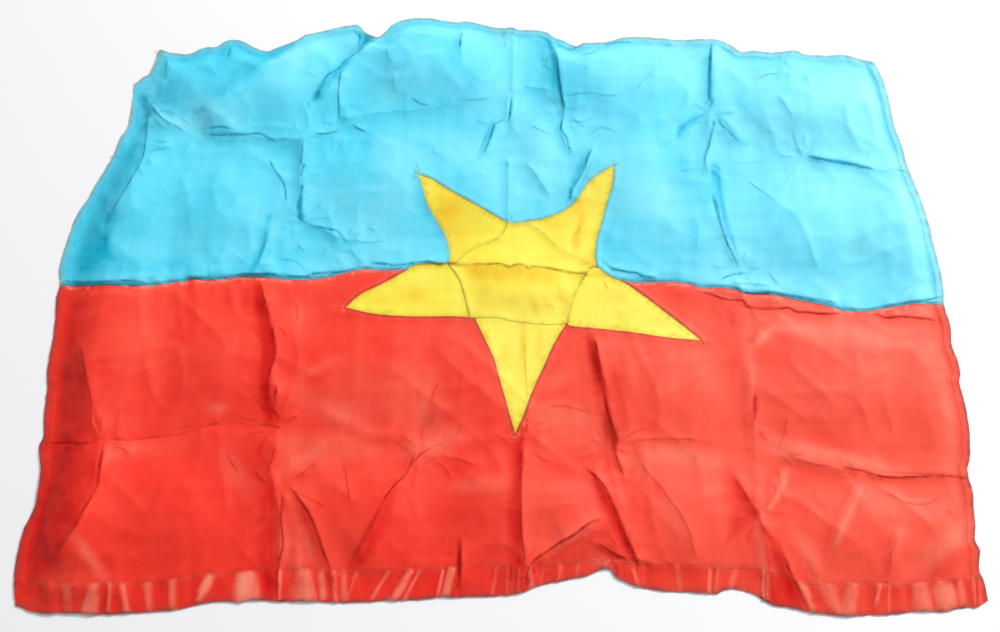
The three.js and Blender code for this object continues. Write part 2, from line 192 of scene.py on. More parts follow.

# Marks along the sewn edges: the dirty rim, a highlight painted on the line outside the star, and shade and highlight
# painted along the panels' seam
RIM_WIDTH = 1.15
RIM_SHARE = 0.52
HALO_AWAY = 2.9
HALO_WIDTH = 0.8
LIP_AWAY = 1.1
LIP_WIDTH = 0.9
SEAM_DIRT = (0.5, 4.5)
HEM_LINE_SHARE = 0.45
HEM_LINE_WIDTH = 0.6
STITCH_LINE_WIDTH = 0.8
FAR_HEM_LINE = 0.3
SIDE_HEM_LINE = 0.7
# How dark the thread and dirt in each inner seam of the star is
INNER_SEAM_SHARES = (0.7, 0.4, 0.75, 0.12, 0.8)
OCHRE_SHARE = 1.6
HOLLOW_DEPTH = 0.5
WORN_EDGE_WIDTH = 2.1
WORN_EDGE_REACH = 30

# Painted shade and light: how much deeper a colour is painted for each unit of slope away from the light, how much
# paler for each towards it, and the light's direction over the plan
PAINTED_SHADE_PER_SLOPE = 1.3
PAINTED_LIGHT_PER_SLOPE = 0.9
LIGHT_PLAN = np.array((0.757, 0.653))

# Stitches: length, spacing, how high the middle of each stands over the cloth, and the places of their rows
STITCH = 1.9
STITCH_SPACING = 2.6
STITCH_RISE = 0.1
STITCH_INSET = 0.9
TOPSTITCH_AWAY = 1.5
THREAD_RADIUS = 0.11
THREAD_SIDES = 5

# Frayed threads: steps, how they spread and curl, and how high they arch
FRAY_STEPS = 7
FRAY_SPREAD = 30
FRAY_START = 1.5
FRAY_LENGTH = (0.4, 1)
FRAY_CURL = 0.35
FRAY_WAVER = 0.2
FRAY_ARCH = 0.5
FRAY_REACH = 40

# Weave: threads per metre, and how many times less often than their scale says the wave bands repeat
THREADS_PER_METRE = 1700
WAVE_UNIT = math.pi / 10

# Camera over the near hem, looking down at the middle, and the half-width of the floor in metres
CAMERA_PLAN = (-1.3, -289.64, 893.95)
CAMERA_PITCH = 17.536
CAMERA_LENS = 36.0
CAMERA_SENSOR = 36.0
FLOOR_HALF = 4.0
DAYLIGHT = 0.38

# Flat size and area of each point of the star, in metres
STAR_POINTS = {
    "star_point_far_left": ((0.098, 0.102), 0.0039),
    "star_point_far_right": ((0.102, 0.112), 0.0042),
    "star_point_right": ((0.134, 0.084), 0.0052),
    "star_point_near": ((0.096, 0.118), 0.0048),
    "star_point_left": ((0.130, 0.068), 0.0049),
}

# Colours as seen, from 0 to 255. Several of them paint shade and light into the cloth: deeper colours for slopes
# turned from the light, hollows, creases, dimples and the blue side of the seam, and paler ones for slopes turned to
# it, the red cloth's sheen and highlights along the edges
PALETTES = {
    "blue_silk": dict(
        body=(90, 220, 250), pale=(140, 234, 252), deep=(44, 198, 234), painted_shade=(0, 184, 220), painted_light=(160, 242, 254),
        dark=(0, 134, 168), grime=(140, 158, 140), stained=(128, 178, 140), rim=(112, 176, 140), painted_edge_line=(120, 214, 228),
        painted_seam_shading=(0, 104, 132), painted_sheen_and_ochre=(150, 238, 252)),
    "red_silk": dict(
        body=(252, 60, 44), pale=(255, 96, 72), deep=(226, 18, 8), painted_shade=(218, 0, 0), painted_light=(255, 128, 102),
        dark=(176, 0, 0), grime=(120, 66, 66), stained=(160, 60, 40), rim=(160, 44, 26), painted_edge_line=(255, 122, 94),
        painted_seam_shading=(255, 146, 126), painted_sheen_and_ochre=(255, 148, 122)),
    "yellow_silk": dict(
        body=(254, 236, 72), pale=(255, 244, 112), deep=(244, 206, 36), painted_shade=(232, 176, 0), painted_light=(255, 248, 150),
        dark=(156, 108, 0), grime=(170, 140, 60), stained=(206, 160, 60), rim=(146, 116, 8), painted_edge_line=(238, 208, 60),
        painted_seam_shading=(214, 170, 40), painted_sheen_and_ochre=(250, 188, 0)),
}
THREADS = {
    "olive_thread": ((104, 176, 160), (140, 200, 170)),
    "brown_thread": ((196, 84, 48), (226, 120, 84)),
    "pale_thread": ((166, 172, 120), (196, 204, 156)),
    "blue_thread": ((84, 176, 190), (120, 205, 214)),
    "red_thread": ((176, 40, 28), (214, 84, 62)),
    "pale_red_thread": ((240, 130, 112), (250, 170, 150)),
}
THREAD_DIRT = (70, 55, 40)
FLOOR_PALE = (251, 250, 252)
FLOOR_GREY = (236, 238, 242)

# The four edges of the whole flag, each from its left or near end
NEAR_EDGE = [
    (-417, -268), (-397, -274), (-375, -274), (-350, -275), (-330, -275), (-305, -273.5), (-285, -272), (-268, -269),
    (-255, -266), (-240, -264.5), (-225, -265), (-215, -263.5), (-193, -264.5), (-165, -264.5), (-142, -265.5),
    (-120, -265), (-95, -264), (-70, -263), (-50, -260.5), (-40, -261), (0, -260), (12, -258.5), (22, -256),
    (30, -252), (55, -247), (70, -244), (82, -240), (88, -237.5), (95, -238), (100, -245), (110, -249.5), (121, -253),
    (140, -256), (158, -257), (175, -257.5), (186, -258), (192, -255), (200, -254), (212, -257), (220, -260),
    (228, -265), (235, -268), (245, -269), (258, -272), (276, -275), (295, -276.5), (315, -276), (335, -275),
    (360, -272.5), (376, -273), (395, -270), (408, -269.5),
]
RIGHT_EDGE = [
    (418, -264), (417, -250), (414, -240), (415, -230), (417, -222), (414, -212), (416, -200), (417, -185),
    (418, -171), (416, -160), (416, -151), (420, -140), (422, -125), (423, -110), (422, -90), (420, -72), (422, -62),
    (421, -50), (418, -35), (419, -20), (418, -10), (416, 2), (417.5, 25), (416, 45), (414, 64), (412, 85), (409, 105),
    (404, 125), (401, 139), (398, 154), (397, 167), (393, 183), (391, 197), (390, 214), (389, 227), (386, 243),
    (382, 257), (379, 264),
]
FAR_EDGE = [
    (-370, 238), (-363, 245), (-356, 250), (-351, 264), (-349, 277), (-340, 275), (-321, 272), (-310, 277),
    (-300, 281), (-292, 281), (-280, 289), (-270, 289), (-264, 287), (-251, 279), (-239, 275), (-230, 279),
    (-218, 284), (-208, 289), (-200, 295), (-185, 299), (-169, 304), (-158, 306), (-150, 307.5), (-144, 303),
    (-139, 297), (-133, 294), (-126, 292), (-120, 298), (-112, 307), (-103, 312), (-90, 314.5), (-74, 314.5),
    (-60, 312), (-45, 310), (-36, 311), (-25, 309), (-10, 305), (2, 303.5), (12, 304), (20, 301), (36, 301), (47, 298),
    (53, 293), (65, 287), (77, 281.5), (84, 285), (101, 286), (112, 288), (127, 292.5), (150, 292.5), (175, 290),
    (200, 290), (218, 290.5), (231, 286), (245, 275.5), (257, 277), (275, 275), (300, 277), (310, 272.5), (335, 271),
    (347, 272.5), (357, 270), (366, 267),
]
LEFT_EDGE = [
    (-420, -254), (-422, -240), (-421.5, -225), (-419, -204), (-415, -194), (-412, -183), (-411, -168), (-412, -148),
    (-416, -130), (-413, -121), (-415, -105), (-416, -75), (-418, -60), (-417, -30), (-417, -15), (-418, 0),
    (-419, 12), (-417, 25), (-420, 38), (-419, 50), (-417, 65), (-414, 81), (-411.5, 92), (-406.5, 103), (-401, 114),
    (-396, 127), (-389, 143.5), (-382.5, 158), (-377.5, 178), (-371.5, 190), (-370, 215),
]

PANEL_SEAM = [
    (-450, 25), (-397, 21.5), (-370, 20.7), (-350, 20.3), (-332, 21), (-317, 23.7), (-303, 26), (-292, 28.5),
    (-282, 28), (-267, 28.3), (-250, 30.7), (-233, 31), (-217, 30), (-205, 28.7), (-193, 28.2), (-182, 29), (-165, 31),
    (-152, 34.5), (-142, 37), (-135, 39), (-122, 39), (-108, 38), (-92, 39), (-40, 43), (0, 43), (45, 39.5), (90, 32),
    (118, 27), (130, 25.7), (150, 26), (165, 26.3), (175, 25), (185, 22), (193, 20), (205, 20.5), (220, 19), (230, 15),
    (250, 14), (260, 13), (280, 8), (295, 5), (305, 2.5), (315, -1), (330, -2.7), (345, -2.5), (360, 0.5), (370, 2),
    (385, 4), (400, 4), (450, 3),
]

# The star's sides in turn, between its tips and its notches
STAR_SIDES = [
    [(-81, 137), (-67, 131), (-57, 124), (-43, 115), (-25, 104.5), (-12, 97), (6, 86.5)],
    [(6, 86.5), (15, 86), (27, 89), (40, 91), (60, 99), (73, 110), (85, 128), (97, 138), (110.5, 145.5)],
    [(110.5, 145.5), (108, 125), (103, 110), (97, 88), (91.5, 70), (89.5, 52), (91, 42)],
    [(91, 42), (102, 33), (118, 25), (135, 12), (157, -6), (170, -17), (185.5, -31)],
    [(185.5, -31), (155, -28.5), (120, -23), (85, -19), (66, -17), (61, -14)],
    [(61, -14), (50, -32), (39, -56), (28, -80), (20.5, -101), (12.3, -119)],
    [(12.3, -119), (6.5, -97), (-2, -66), (-7, -48), (-17, -26), (-25, -9)],
    [(-25, -9), (-45, -7.7), (-85, -7.7), (-120, -5), (-146, 1)],
    [(-146, 1), (-133, 13.7), (-113, 24.5), (-92, 37), (-80, 44), (-50, 45)],
    [(-50, 45), (-49, 55), (-53, 72), (-61, 87), (-71, 105), (-77, 125), (-81, 137)],
]
STAR_MIDDLE_SIDES = [
    [(-51, 45), (-43, 46), (-32.5, 57), (-22, 63), (-12, 67), (0, 75), (6, 88)],
    [(6, 88), (27, 86), (40, 77), (48, 69), (62, 57), (92, 41)],
    [(92, 41), (85, 40), (78, 30), (68, 9), (62, -14.5)],
    [(62, -14.5), (45, -16), (15, -13.5), (-5, -9.5), (-26, -10)],
    [(-26, -10), (-30, -8), (-34, 8), (-40, 28), (-51, 45)],
]

# Broad swells between the old storage folds: middle, half-widths along X and Y, height
SWELLS = [
    (-292, 222, 46, 34, 7), (-215, 232, 52, 44, 9), (-82, 262, 56, 46, 13), (-20, 245, 34, 44, 6),
    (92, 250, 46, 40, 9), (158, 240, 40, 44, 6), (285, 215, 62, 40, 7), (350, 205, 36, 42, 4), (-350, 105, 34, 56, 5),
    (-275, 112, 52, 48, 7), (-105, 130, 64, 44, 6), (-20, 120, 42, 40, 5), (38, 165, 24, 30, 5), (130, 150, 48, 50, 7),
    (160, 78, 46, 36, 5), (300, 82, 70, 48, 7), (385, 90, 30, 60, 4), (-340, -50, 52, 56, 5), (-262, -42, 40, 56, 6),
    (-120, -62, 66, 46, 6), (-30, -70, 30, 40, 4), (20, 20, 60, 34, 4), (150, -75, 50, 44, 6), (310, -75, 70, 52, 7),
    (388, -80, 26, 60, 4), (-300, -190, 56, 46, 6), (-390, -190, 26, 50, 4), (-115, -190, 56, 42, 6),
    (-10, -185, 30, 44, 5), (60, -190, 36, 36, 7), (170, -195, 48, 40, 6), (300, -210, 60, 42, 7),
    (385, -205, 30, 40, 5), (-362, -40, 34, 150, 4), (-362, -190, 30, 70, 4),
]

# Main folds: height, reach of the steep side, run of the raised cloth to the left of the route, and the route
FOLDS = [
    (3.8, 26, 70, [(-196, 305), (-222, 268), (-250, 242), (-278, 215), (-306, 188)]),
    (2.6, 24, 60, [(-184, 322), (-206, 290), (-236, 254), (-262, 230)]),
    (5, 6, 36, [(-118, 305), (-135, 282), (-156, 262), (-176, 240), (-190, 205)]),
    (3, 4, 14, [(-139, 312), (-145, 290), (-148, 268)]),
    (2.2, 5, 24, [(-40, 318), (-42, 282), (-38, 250)]),
    (3.2, 4.6, 34, [(42, 304), (53, 275), (58, 245), (63, 206), (60, 184), (70, 150)]),
    (1.8, 5, 18, [(11, 240), (9, 203), (-4, 188), (-20, 154)]),
    (2.4, 5, 18, [(94, 178), (84, 152), (72, 126), (64, 100)]),
    (3.5, 5, 24, [(217, 300), (212, 252), (209, 214), (205, 180), (200, 148), (204, 128)]),
    (2.6, 6, 20, [(204, 138), (206, 112), (214, 72), (228, 30)]),
    (2, 5, 12, [(176, 182), (192, 198), (209, 206)]),
    (2.4, 7, 14, [(213, 204), (226, 182), (244, 162)]),
    (2.2, 5, 20, [(288, 160), (312, 154), (345, 148), (380, 141), (415, 139)]),
    (2.4, 5, 22, [(-196, 190), (-197, 150), (-195, 112), (-189, 82)]),
    (1.8, 4, 16, [(-200, 92), (-176, 82), (-152, 70), (-108, 66)]),
    (3.4, 10, 24, [(-353, 218), (-350, 160), (-362, 118), (-379, 80)]),
    (2.4, 5, 12, [(-300, 176), (-330, 192), (-354, 218), (-366, 240)]),
    (2.2, 5, 20, [(-304, 184), (-262, 180), (-215, 173), (-172, 181), (-150, 190), (-122, 178)]),
    (2, 7, 20, [(-222, 92), (-226, 66), (-236, 24)]),
    (1.8, 4, 17, [(-440, 29), (-392, 24), (-332, 25), (-292, 32), (-233, 34), (-185, 33),
     (-135, 43), (-60, 45), (0, 43), (45, 40), (90, 33)]),
    (1.8, 4, 17, [(70, 36), (128, 31), (185, 25), (220, 22), (260, 15),
     (305, 5), (345, 0), (385, 7), (440, 16)]),
    (5.6, 8, 30, [(-234, 36), (-222, 8), (-209, -40), (-211, -72), (-204, -110)]),
    (3.4, 14, 28, [(-390, -28), (-376, -71), (-366, -112), (-352, -138)]),
    (-1.8, 7, 10, [(-440, -128), (-380, -129), (-320, -124), (-262, -111), (-195, -116)]),
    (4.4, 22, 30, [(-354, -118), (-354, -162), (-368, -204), (-394, -240)]),
    (3, 6, 20, [(-202, -106), (-206, -150), (-195, -190), (-193, -230), (-194, -285)]),
    (2.6, 7, 22, [(-196, -158), (-170, -188), (-152, -228), (-138, -280)]),
    (4.4, 8, 26, [(-60, -122), (-85, -155), (-107, -187), (-134, -244)]),
    (1.4, 5, 16, [(-96, -132), (-66, -138), (-40, -142), (-10, -150)]),
    (3.4, 3.5, 18, [(-36, -200), (-36, -238), (-42, -282)]),
    (4.4, 11, 26, [(24, -84), (20, -125), (17, -180), (19, -236), (22, -280)]),
    (3.4, 6, 20, [(16, -280), (24, -236), (50, -216), (98, -190)]),
    (3.6, 8, 24, [(66, -142), (86, -160), (101, -192), (114, -222), (126, -256)]),
    (2, 4, 12, [(74, -210), (94, -224), (122, -232)]),
    (4.2, 6, 26, [(84, -14), (89, -52), (95, -86), (103, -124), (103, -140), (114, -170)]),
    (1.4, 7, 20, [(116, -134), (138, -163), (160, -197), (172, -244)]),
    (1.2, 5, 14, [(96, -134), (118, -126), (160, -124), (212, -128)]),
    (3.2, 8, 22, [(200, -146), (213, -168), (226, -192), (232, -225), (236, -290)]),
    (1.0, 7, 16, [(228, -40), (229, -90), (228, -150)]),
    (1.9, 5, 22, [(238, -136), (285, -148), (330, -156), (372, -158), (440, -159)]),
    (2, 6, 18, [(326, -158), (308, -184), (292, -212), (286, -240)]),
    (2.2, 6, 16, [(240, -206), (250, -240), (266, -290)]),
    (1.6, 5, 15, [(346, -196), (338, -222), (334, -252)]),
    (1.8, 9, 14, [(372, -250), (390, -227), (412, -208)]),
]

# Sharp creases, each a step whose raised cloth lies to the left of its route: height, width of the step, run
STRONG = (0.9, 1.1, 14, 1.5)
STRONG_CREASES = [
    [(-127, 291), (-135, 282), (-145, 272), (-156, 263), (-163, 251), (-172, 244.5), (-177.5, 237),
     (-182.5, 222), (-187.5, 216)],
    [(-40, 300), (-42, 280), (-41, 271)],
    [(-1, 198), (-6, 193), (-10, 180), (-15, 166), (-19, 158)],
    [(10, 225), (10, 215), (8, 199.5), (3, 193)],
    [(46, 292), (51, 282), (55, 270), (57, 260), (57, 248), (59, 232), (62, 212), (64, 203.5)],
    [(90, 167), (86, 158), (80, 142), (74, 130), (69, 122.5), (66.5, 113), (66, 108)],
    [(-193, 130), (-195, 117), (-196, 105), (-195, 92), (-192.5, 89.5), (-185, 84.5)],
    [(-224, 80), (-226, 69), (-227.5, 57), (-231, 44), (-233, 38)],
    [(216, 287), (214, 275), (212.5, 262), (211, 250), (209, 235), (208, 222), (210, 213)],
    [(300, 158), (310, 154.5), (330, 151), (350, 147), (367, 141.5)],
    [(-215, -16), (-211, -28), (-208, -41), (-209, -50), (-212, -62), (-212, -70)],
    [(-36, -210), (-36, -225), (-36, -238), (-38, -250), (-41, -260)],
    [(21.5, -255.5), (21, -248), (23, -240), (28, -232), (38, -223.5), (50, -217), (62, -209),
     (75, -200.5), (90, -194)],
    [(81.5, -215.5), (90, -220), (98, -225), (104, -228), (112, -229)],
    [(75, -151), (83, -158), (91, -168), (96, -180), (100, -190), (105, -203), (110, -216),
     (115, -226), (121, -238)],
    [(86, -27), (87.5, -40), (89, -52), (92.5, -66), (95, -78), (95, -83)],
    [(300, -149), (320, -153), (331, -156.5), (350, -159), (365, -158), (395, -158), (417, -159)],
    [(-127, 45.5), (-115, 45), (-100, 43.5), (-85, 45), (-70, 46), (-60, 44), (-50, 44.5)],
    [(102, 45), (104, 40), (120, 36), (128, 35), (135, 31), (150, 29.5)],
    [(186, 17.5), (200, 13), (215, 8.7), (227, 8), (232, 2), (245, 0), (262, 0), (270, 0), (277, -4), (285, -4),
     (303, -5.5), (322, -4.5)],
    [(346, -4), (352, -6), (358, -9), (372, -8.5), (390, -10), (405, -12), (409, -13.5)],
    [(-418, 28), (-405, 26), (-390, 24.4), (-360, 24), (-332, 24.5)],
    [(-300, 28.5), (-286, 28.8), (-279, 29.5), (-274, 32.5)],
    [(-250, 33.6), (-240, 33.2), (-225, 33), (-205, 32.2), (-192, 31.4), (-184, 32), (-178, 34.5), (-165, 35.5),
     (-150, 37), (-142, 38.6)],
    [(224, 18), (232, 14.6), (245, 14.8), (258, 15.6), (268, 12.8), (290, 9.2), (305, 6.6), (318, 3)],
    [(-146, 300), (-145, 288), (-147, 274)],
]

CLEAR = (0.5, 0.9, 10, 1.1)
CLEAR_CREASES = [
    [(-351, 214), (-340, 200), (-330, 192), (-311, 181)],
    [(-353, 208), (-352, 185), (-350, 165), (-351, 150), (-360, 125), (-367, 108), (-376, 90)],
    [(-292, 185), (-275, 185.5), (-262, 182)],
    [(-290, 181), (-285, 178), (-258, 178), (-240, 180), (-233, 177), (-225, 174), (-205, 173.5)],
    [(-188, 180), (-172, 181.5), (-158, 187)],
    [(-150, 192), (-142, 187), (-132, 182)],
    [(-276, 282), (-278, 265)],
    [(-160, 253), (-163, 238), (-163, 225), (-162, 205), (-161, 193)],
    [(-92, 222), (-85, 216), (-78, 212), (-68, 212)],
    [(61, 200), (59, 187), (64, 178), (67, 167), (70, 154.5)],
    [(65, 278), (73, 277), (77, 281.5)],
    [(80, 268), (90, 270), (98, 276), (100, 279)],
    [(102, 282), (122, 286), (135, 286)],
    [(-195, 177), (-197, 150), (-193, 147), (-196, 138), (-193, 130)],
    [(-183, 84), (-160, 78), (-152, 71), (-148, 62)],
    [(-230, 155), (-222, 143), (-215, 132), (-211, 124), (-208.5, 110), (-207, 105)],
    [(207, 198), (211.5, 194), (208, 180), (205, 170), (202, 162), (200, 155), (201, 145), (203, 135)],
    [(206, 115), (208, 103), (210, 90), (214, 72), (218, 60), (222.5, 48), (226, 38.5)],
    [(213, 202), (220, 190), (228, 180), (238, 170)],
    [(375, 143), (395, 141), (401, 138)],
    [(206, 27), (215, 32), (225, 35), (237, 35)],
    [(350, 0.5), (380, 5.4), (395, 7.6), (408, 10.6), (417, 12.6)],
    [(-230, 28), (-226, 20), (-223, 10), (-219, 0), (-215, -16)],
    [(-209, -72), (-205, -78), (-206, -90), (-208, -97), (-203, -104), (-203, -110)],
    [(-222, -111), (-208, -111), (-200, -114), (-197, -117)],
    [(-203, -125), (-205, -137), (-206.5, -151)],
    [(-194, -171), (-194, -188), (-192.5, -205), (-191, -218), (-193, -228), (-194, -241), (-194, -264)],
    [(-190, -166), (-180, -176), (-170, -190), (-162.5, -203), (-156.5, -218), (-150, -235),
     (-145, -248), (-141.5, -261)],
    [(-78, -136), (-85, -155), (-97, -170), (-107, -187), (-115, -205), (-124, -221), (-128.5, -230)],
    [(-80, -147), (-72, -138), (-60, -130)],
    [(24, -95), (22.5, -110), (22, -121)],
    [(19, -130), (18, -146), (17, -166), (17, -200), (18, -216), (20, -227), (18, -240)],
    [(94, -88), (97, -103), (100, -112), (103, -121), (104.5, -126), (101, -133), (102.5, -139),
     (107, -152), (110, -159)],
    [(244, -225), (250, -241), (256, -255), (260.5, -270)],
    [(-388, -39), (-382.5, -51), (-376, -71), (-371, -86), (-368, -101), (-366, -114), (-358, -125)],
    [(-416, -127), (-400, -127.5), (-380, -129), (-360, -129)],
    [(-354, -130), (-354, -160), (-355, -170), (-358, -180), (-363, -190), (-368, -203), (-375, -215),
     (-386, -229.5)],
    [(93, -225), (100, -238), (99, -243), (104, -237)],
    [(-30, 44), (-10, 44), (0, 43), (7, 40), (13, 42.5), (20, 42.8), (26, 38.7), (29, 41), (45, 39.5),
     (60, 36), (75, 34), (88, 32)],
]

FINE = (0.32, 0.9, 7, 0.55)
FINE_CREASES = [
    [(77, 88), (74, 79), (64, 68.5)],
    [(-354, -130), (-347, -125), (-335, -126), (-320, -124), (-300, -120.5), (-280, -116), (-262, -111), (-250, -108)],
    [(253, -135), (262, -142), (280, -147), (300, -149)],
    [(205, -156), (210, -165), (213, -168), (220, -180), (223, -187)],
    [(62, 219.5), (75, 224), (90, 224), (103, 222), (120, 221)],
    [(83, 179), (90, 182), (98, 188), (112, 184), (121, 180)],
    [(340, -170), (347, -175.5), (355, -180), (365, -182), (378, -181), (393, -172)],
    [(347, -205), (343, -215), (338, -226), (335, -240)],
    [(-145, 73), (-137, 67), (-125, 66), (-107, 68)],
    [(222, 148), (235, 150), (262, 152)],
    [(118, -126), (131, -125.5), (145, -124), (180, -125)],
    [(121, -143), (128, -150.5), (138, -163), (148, -178), (156.5, -191), (163, -205), (166.5, -220), (169, -231)],
    [(-342, 275), (-337, 237)],
    [(-193, 217), (-192, 203)],
    [(-233, 174.5), (-220, 170.7)],
    [(-67, 213), (-59, 206)],
    [(-54, 217), (-50, 215)],
    [(-45, 217), (-12, 219)],
    [(38, 270), (47, 260)],
    [(40, 262), (52, 250)],
    [(168, 286), (175, 283)],
    [(156, 254), (150, 246), (140, 235), (134, 227)],
    [(63, 197), (80, 194), (95, 203)],
    [(25, 193), (53, 178)],
    [(5, 150), (7, 143)],
    [(-70, 166), (-63, 155)],
    [(-197, 66), (-192, 61), (-187, 55)],
    [(-215, 49), (-200, 48), (-192, 44), (-182.5, 34.5)],
    [(-213, 82), (-205, 81)],
    [(-130, 82), (-120, 77)],
    [(214, 140), (212, 120), (214, 108), (215, 80), (219, 65)],
    [(291, 169), (295, 160), (300, 156)],
    [(239, 133), (250, 122), (267, 107)],
    [(216, 25), (240, 23), (255, 22)],
    [(252, 39), (258, 27), (265, 20)],
    [(370, 10), (388, 25)],
    [(256, 238), (263, 246), (272, 248), (288, 248)],
    [(291, 255), (290, 243)],
    [(275, 274), (280, 265), (286, 259)],
    [(288, 272), (290, 262), (294, 256)],
    [(250, 270), (257, 267), (263, 272)],
    [(221, 278), (244, 275)],
    [(-382, 158), (-375, 155)],
    [(-350, 159), (-340, 161), (-328, 163)],
    [(-345, 171), (-323, 169.5)],
    [(-200, 12), (-192, 0), (-191, -10), (-193, -18), (-197, -21.7)],
    [(-215, -19), (-207, -19.5), (-201, -25.5), (-200, -35)],
    [(-243, -109), (-230, -109)],
    [(-237, -113), (-222, -112)],
    [(-187.5, -163), (-175, -153), (-163, -143)],
    [(-185, -170), (-165, -180), (-152, -187)],
    [(-142.5, -143), (-137.5, -161), (-133, -183)],
    [(-70, -147), (-62, -143), (-58, -137)],
    [(-72, -112), (-72, -128)],
    [(-55, -140.5), (-45, -141), (-35, -144), (-22, -149)],
    [(-46.5, -130), (-40, -118), (-35, -107)],
    [(-56, -68), (-60, -78), (-65, -90)],
    [(15, -125), (22, -124), (28, -124.5)],
    [(61, -143), (75, -140), (85, -136), (93, -134)],
    [(75, -24), (77, -31)],
    [(38, -95.5), (50, -94), (62, -95), (75, -98), (85, -101), (95, -105)],
    [(28, -112), (40, -108)],
    [(103, -132), (112, -138)],
    [(223, -200), (212, -213)],
    [(232.5, -85), (228.5, -91), (231, -97), (228, -111)],
    [(390, -188), (400, -192)],
    [(-250, -135), (-244, -140), (-238, -150), (-235, -157)],
    [(-50, 45), (-43, 43), (-36, 44), (-30, 42)],
    [(21.5, -31), (22, -60), (23, -75), (24, -93)],
]

# Soft creases, wider and lower
SOFT = (1.0, 3.5, 14, 0.06)
SOFT_CREASES = [
    [(-117, 280), (-113, 262), (-103, 256)],
    [(-108, 248), (-105, 222)],
    [(21, 150), (30, 142), (38, 131), (48, 112)],
    [(-362, 218), (-350, 226), (-335, 240)],
    [(-165, 200), (-150, 199), (-125, 204), (-100, 206), (-60, 210)],
    [(11, 300), (12, 262), (11, 225)],
    [(6, 160), (7, 125), (6, 92)],
    [(20, 236), (35, 233), (52, 230)],
    [(276, 226), (285, 208), (291, 195)],
    [(308, 250), (311, 235)],
    [(-350, 30), (-338, 29), (-325, 30), (-312, 38)],
    [(-255, 62), (-275, 45)],
    [(-377, 86), (-375, 60), (-370, 45)],
    [(28, -1), (37, 3.5), (45, 4), (55, 0)],
    [(57, 5), (59, 17), (67, 20)],
    [(265, -3), (257, -13), (250, -26)],
    [(245, -20), (228, -33)],
    [(-205, -200), (-207, -160), (-195, -170)],
]

# Soft crests between two shallow sides
CREST_HEIGHT = 0.7
CREST_WIDTH = 6.0
CRESTS = [
    [(-170, -95), (-120, -118), (-75, -122)],
    [(-50, -130), (-20, -124), (5, -118)],
    [(-208, 88), (-206, 60), (-207, 45)],
    [(228, -50), (227, -100), (228, -160), (227, -220), (228, -262)],
    [(250, -132), (300, -140), (345, -148)],
    [(252.5, -156), (240, -176), (234, -186)],
    [(319, -166), (311, -178), (302, -191), (295, -202), (288, -216), (287, -225)],
    [(-360, -222), (-352, -235), (-340, -247)],
    [(-355, -110), (-354, -135), (-357, -165)],
    [(112, -30), (116, -60), (118, -95)],
    [(-150, 62), (-120, 58), (-80, 58)],
]

# The stitched line where the wide near hem begins
NEAR_HEM_LINE = [
    (-430, -249), (-418, -249), (-350, -249.5), (-300, -248.5), (-285, -246), (-260, -242), (-240, -241), (-190, -237),
    (-150, -239), (-125, -240), (-90, -238.5), (-60, -237), (-20, -233.5), (0, -234), (15, -235.5), (40, -234),
    (65, -232), (75, -229), (98, -231), (123, -232.7), (150, -233), (170, -234), (185, -236.5), (205, -236),
    (228, -238), (262, -249), (300, -250), (350, -250), (385, -248), (417, -243), (430, -243),
]

# Where folds meet, fine wrinkles fan out: middle, how many, and how far they reach
KNOTS = [
    (-353, -128, 9, 34), (-204, -112, 10, 34), (-196, -166, 9, 36), (-72, -134, 9, 40), (20, -124, 8, 30),
    (22, -236, 8, 34), (100, -134, 10, 36), (108, -226, 9, 30), (226, -188, 10, 36), (246, -138, 7, 40),
    (318, -158, 6, 34), (-351, 204, 9, 26), (-350, 160, 7, 26), (-300, 183, 8, 34), (-196, 176, 7, 30),
    (-160, 190, 6, 26), (-194, 90, 8, 30), (-232, 40, 6, 26), (-150, 66, 6, 30), (-142, 284, 6, 26), (52, 284, 9, 24),
    (61, 204, 9, 30), (4, 196, 8, 26), (8, 292, 7, 18), (210, 203, 9, 30), (202, 150, 8, 34), (226, 38, 7, 28),
    (296, 158, 7, 30), (280, 262, 7, 26), (90, 36, 6, 20), (232, 8, 7, 30), (-176, 240, 6, 24),
]
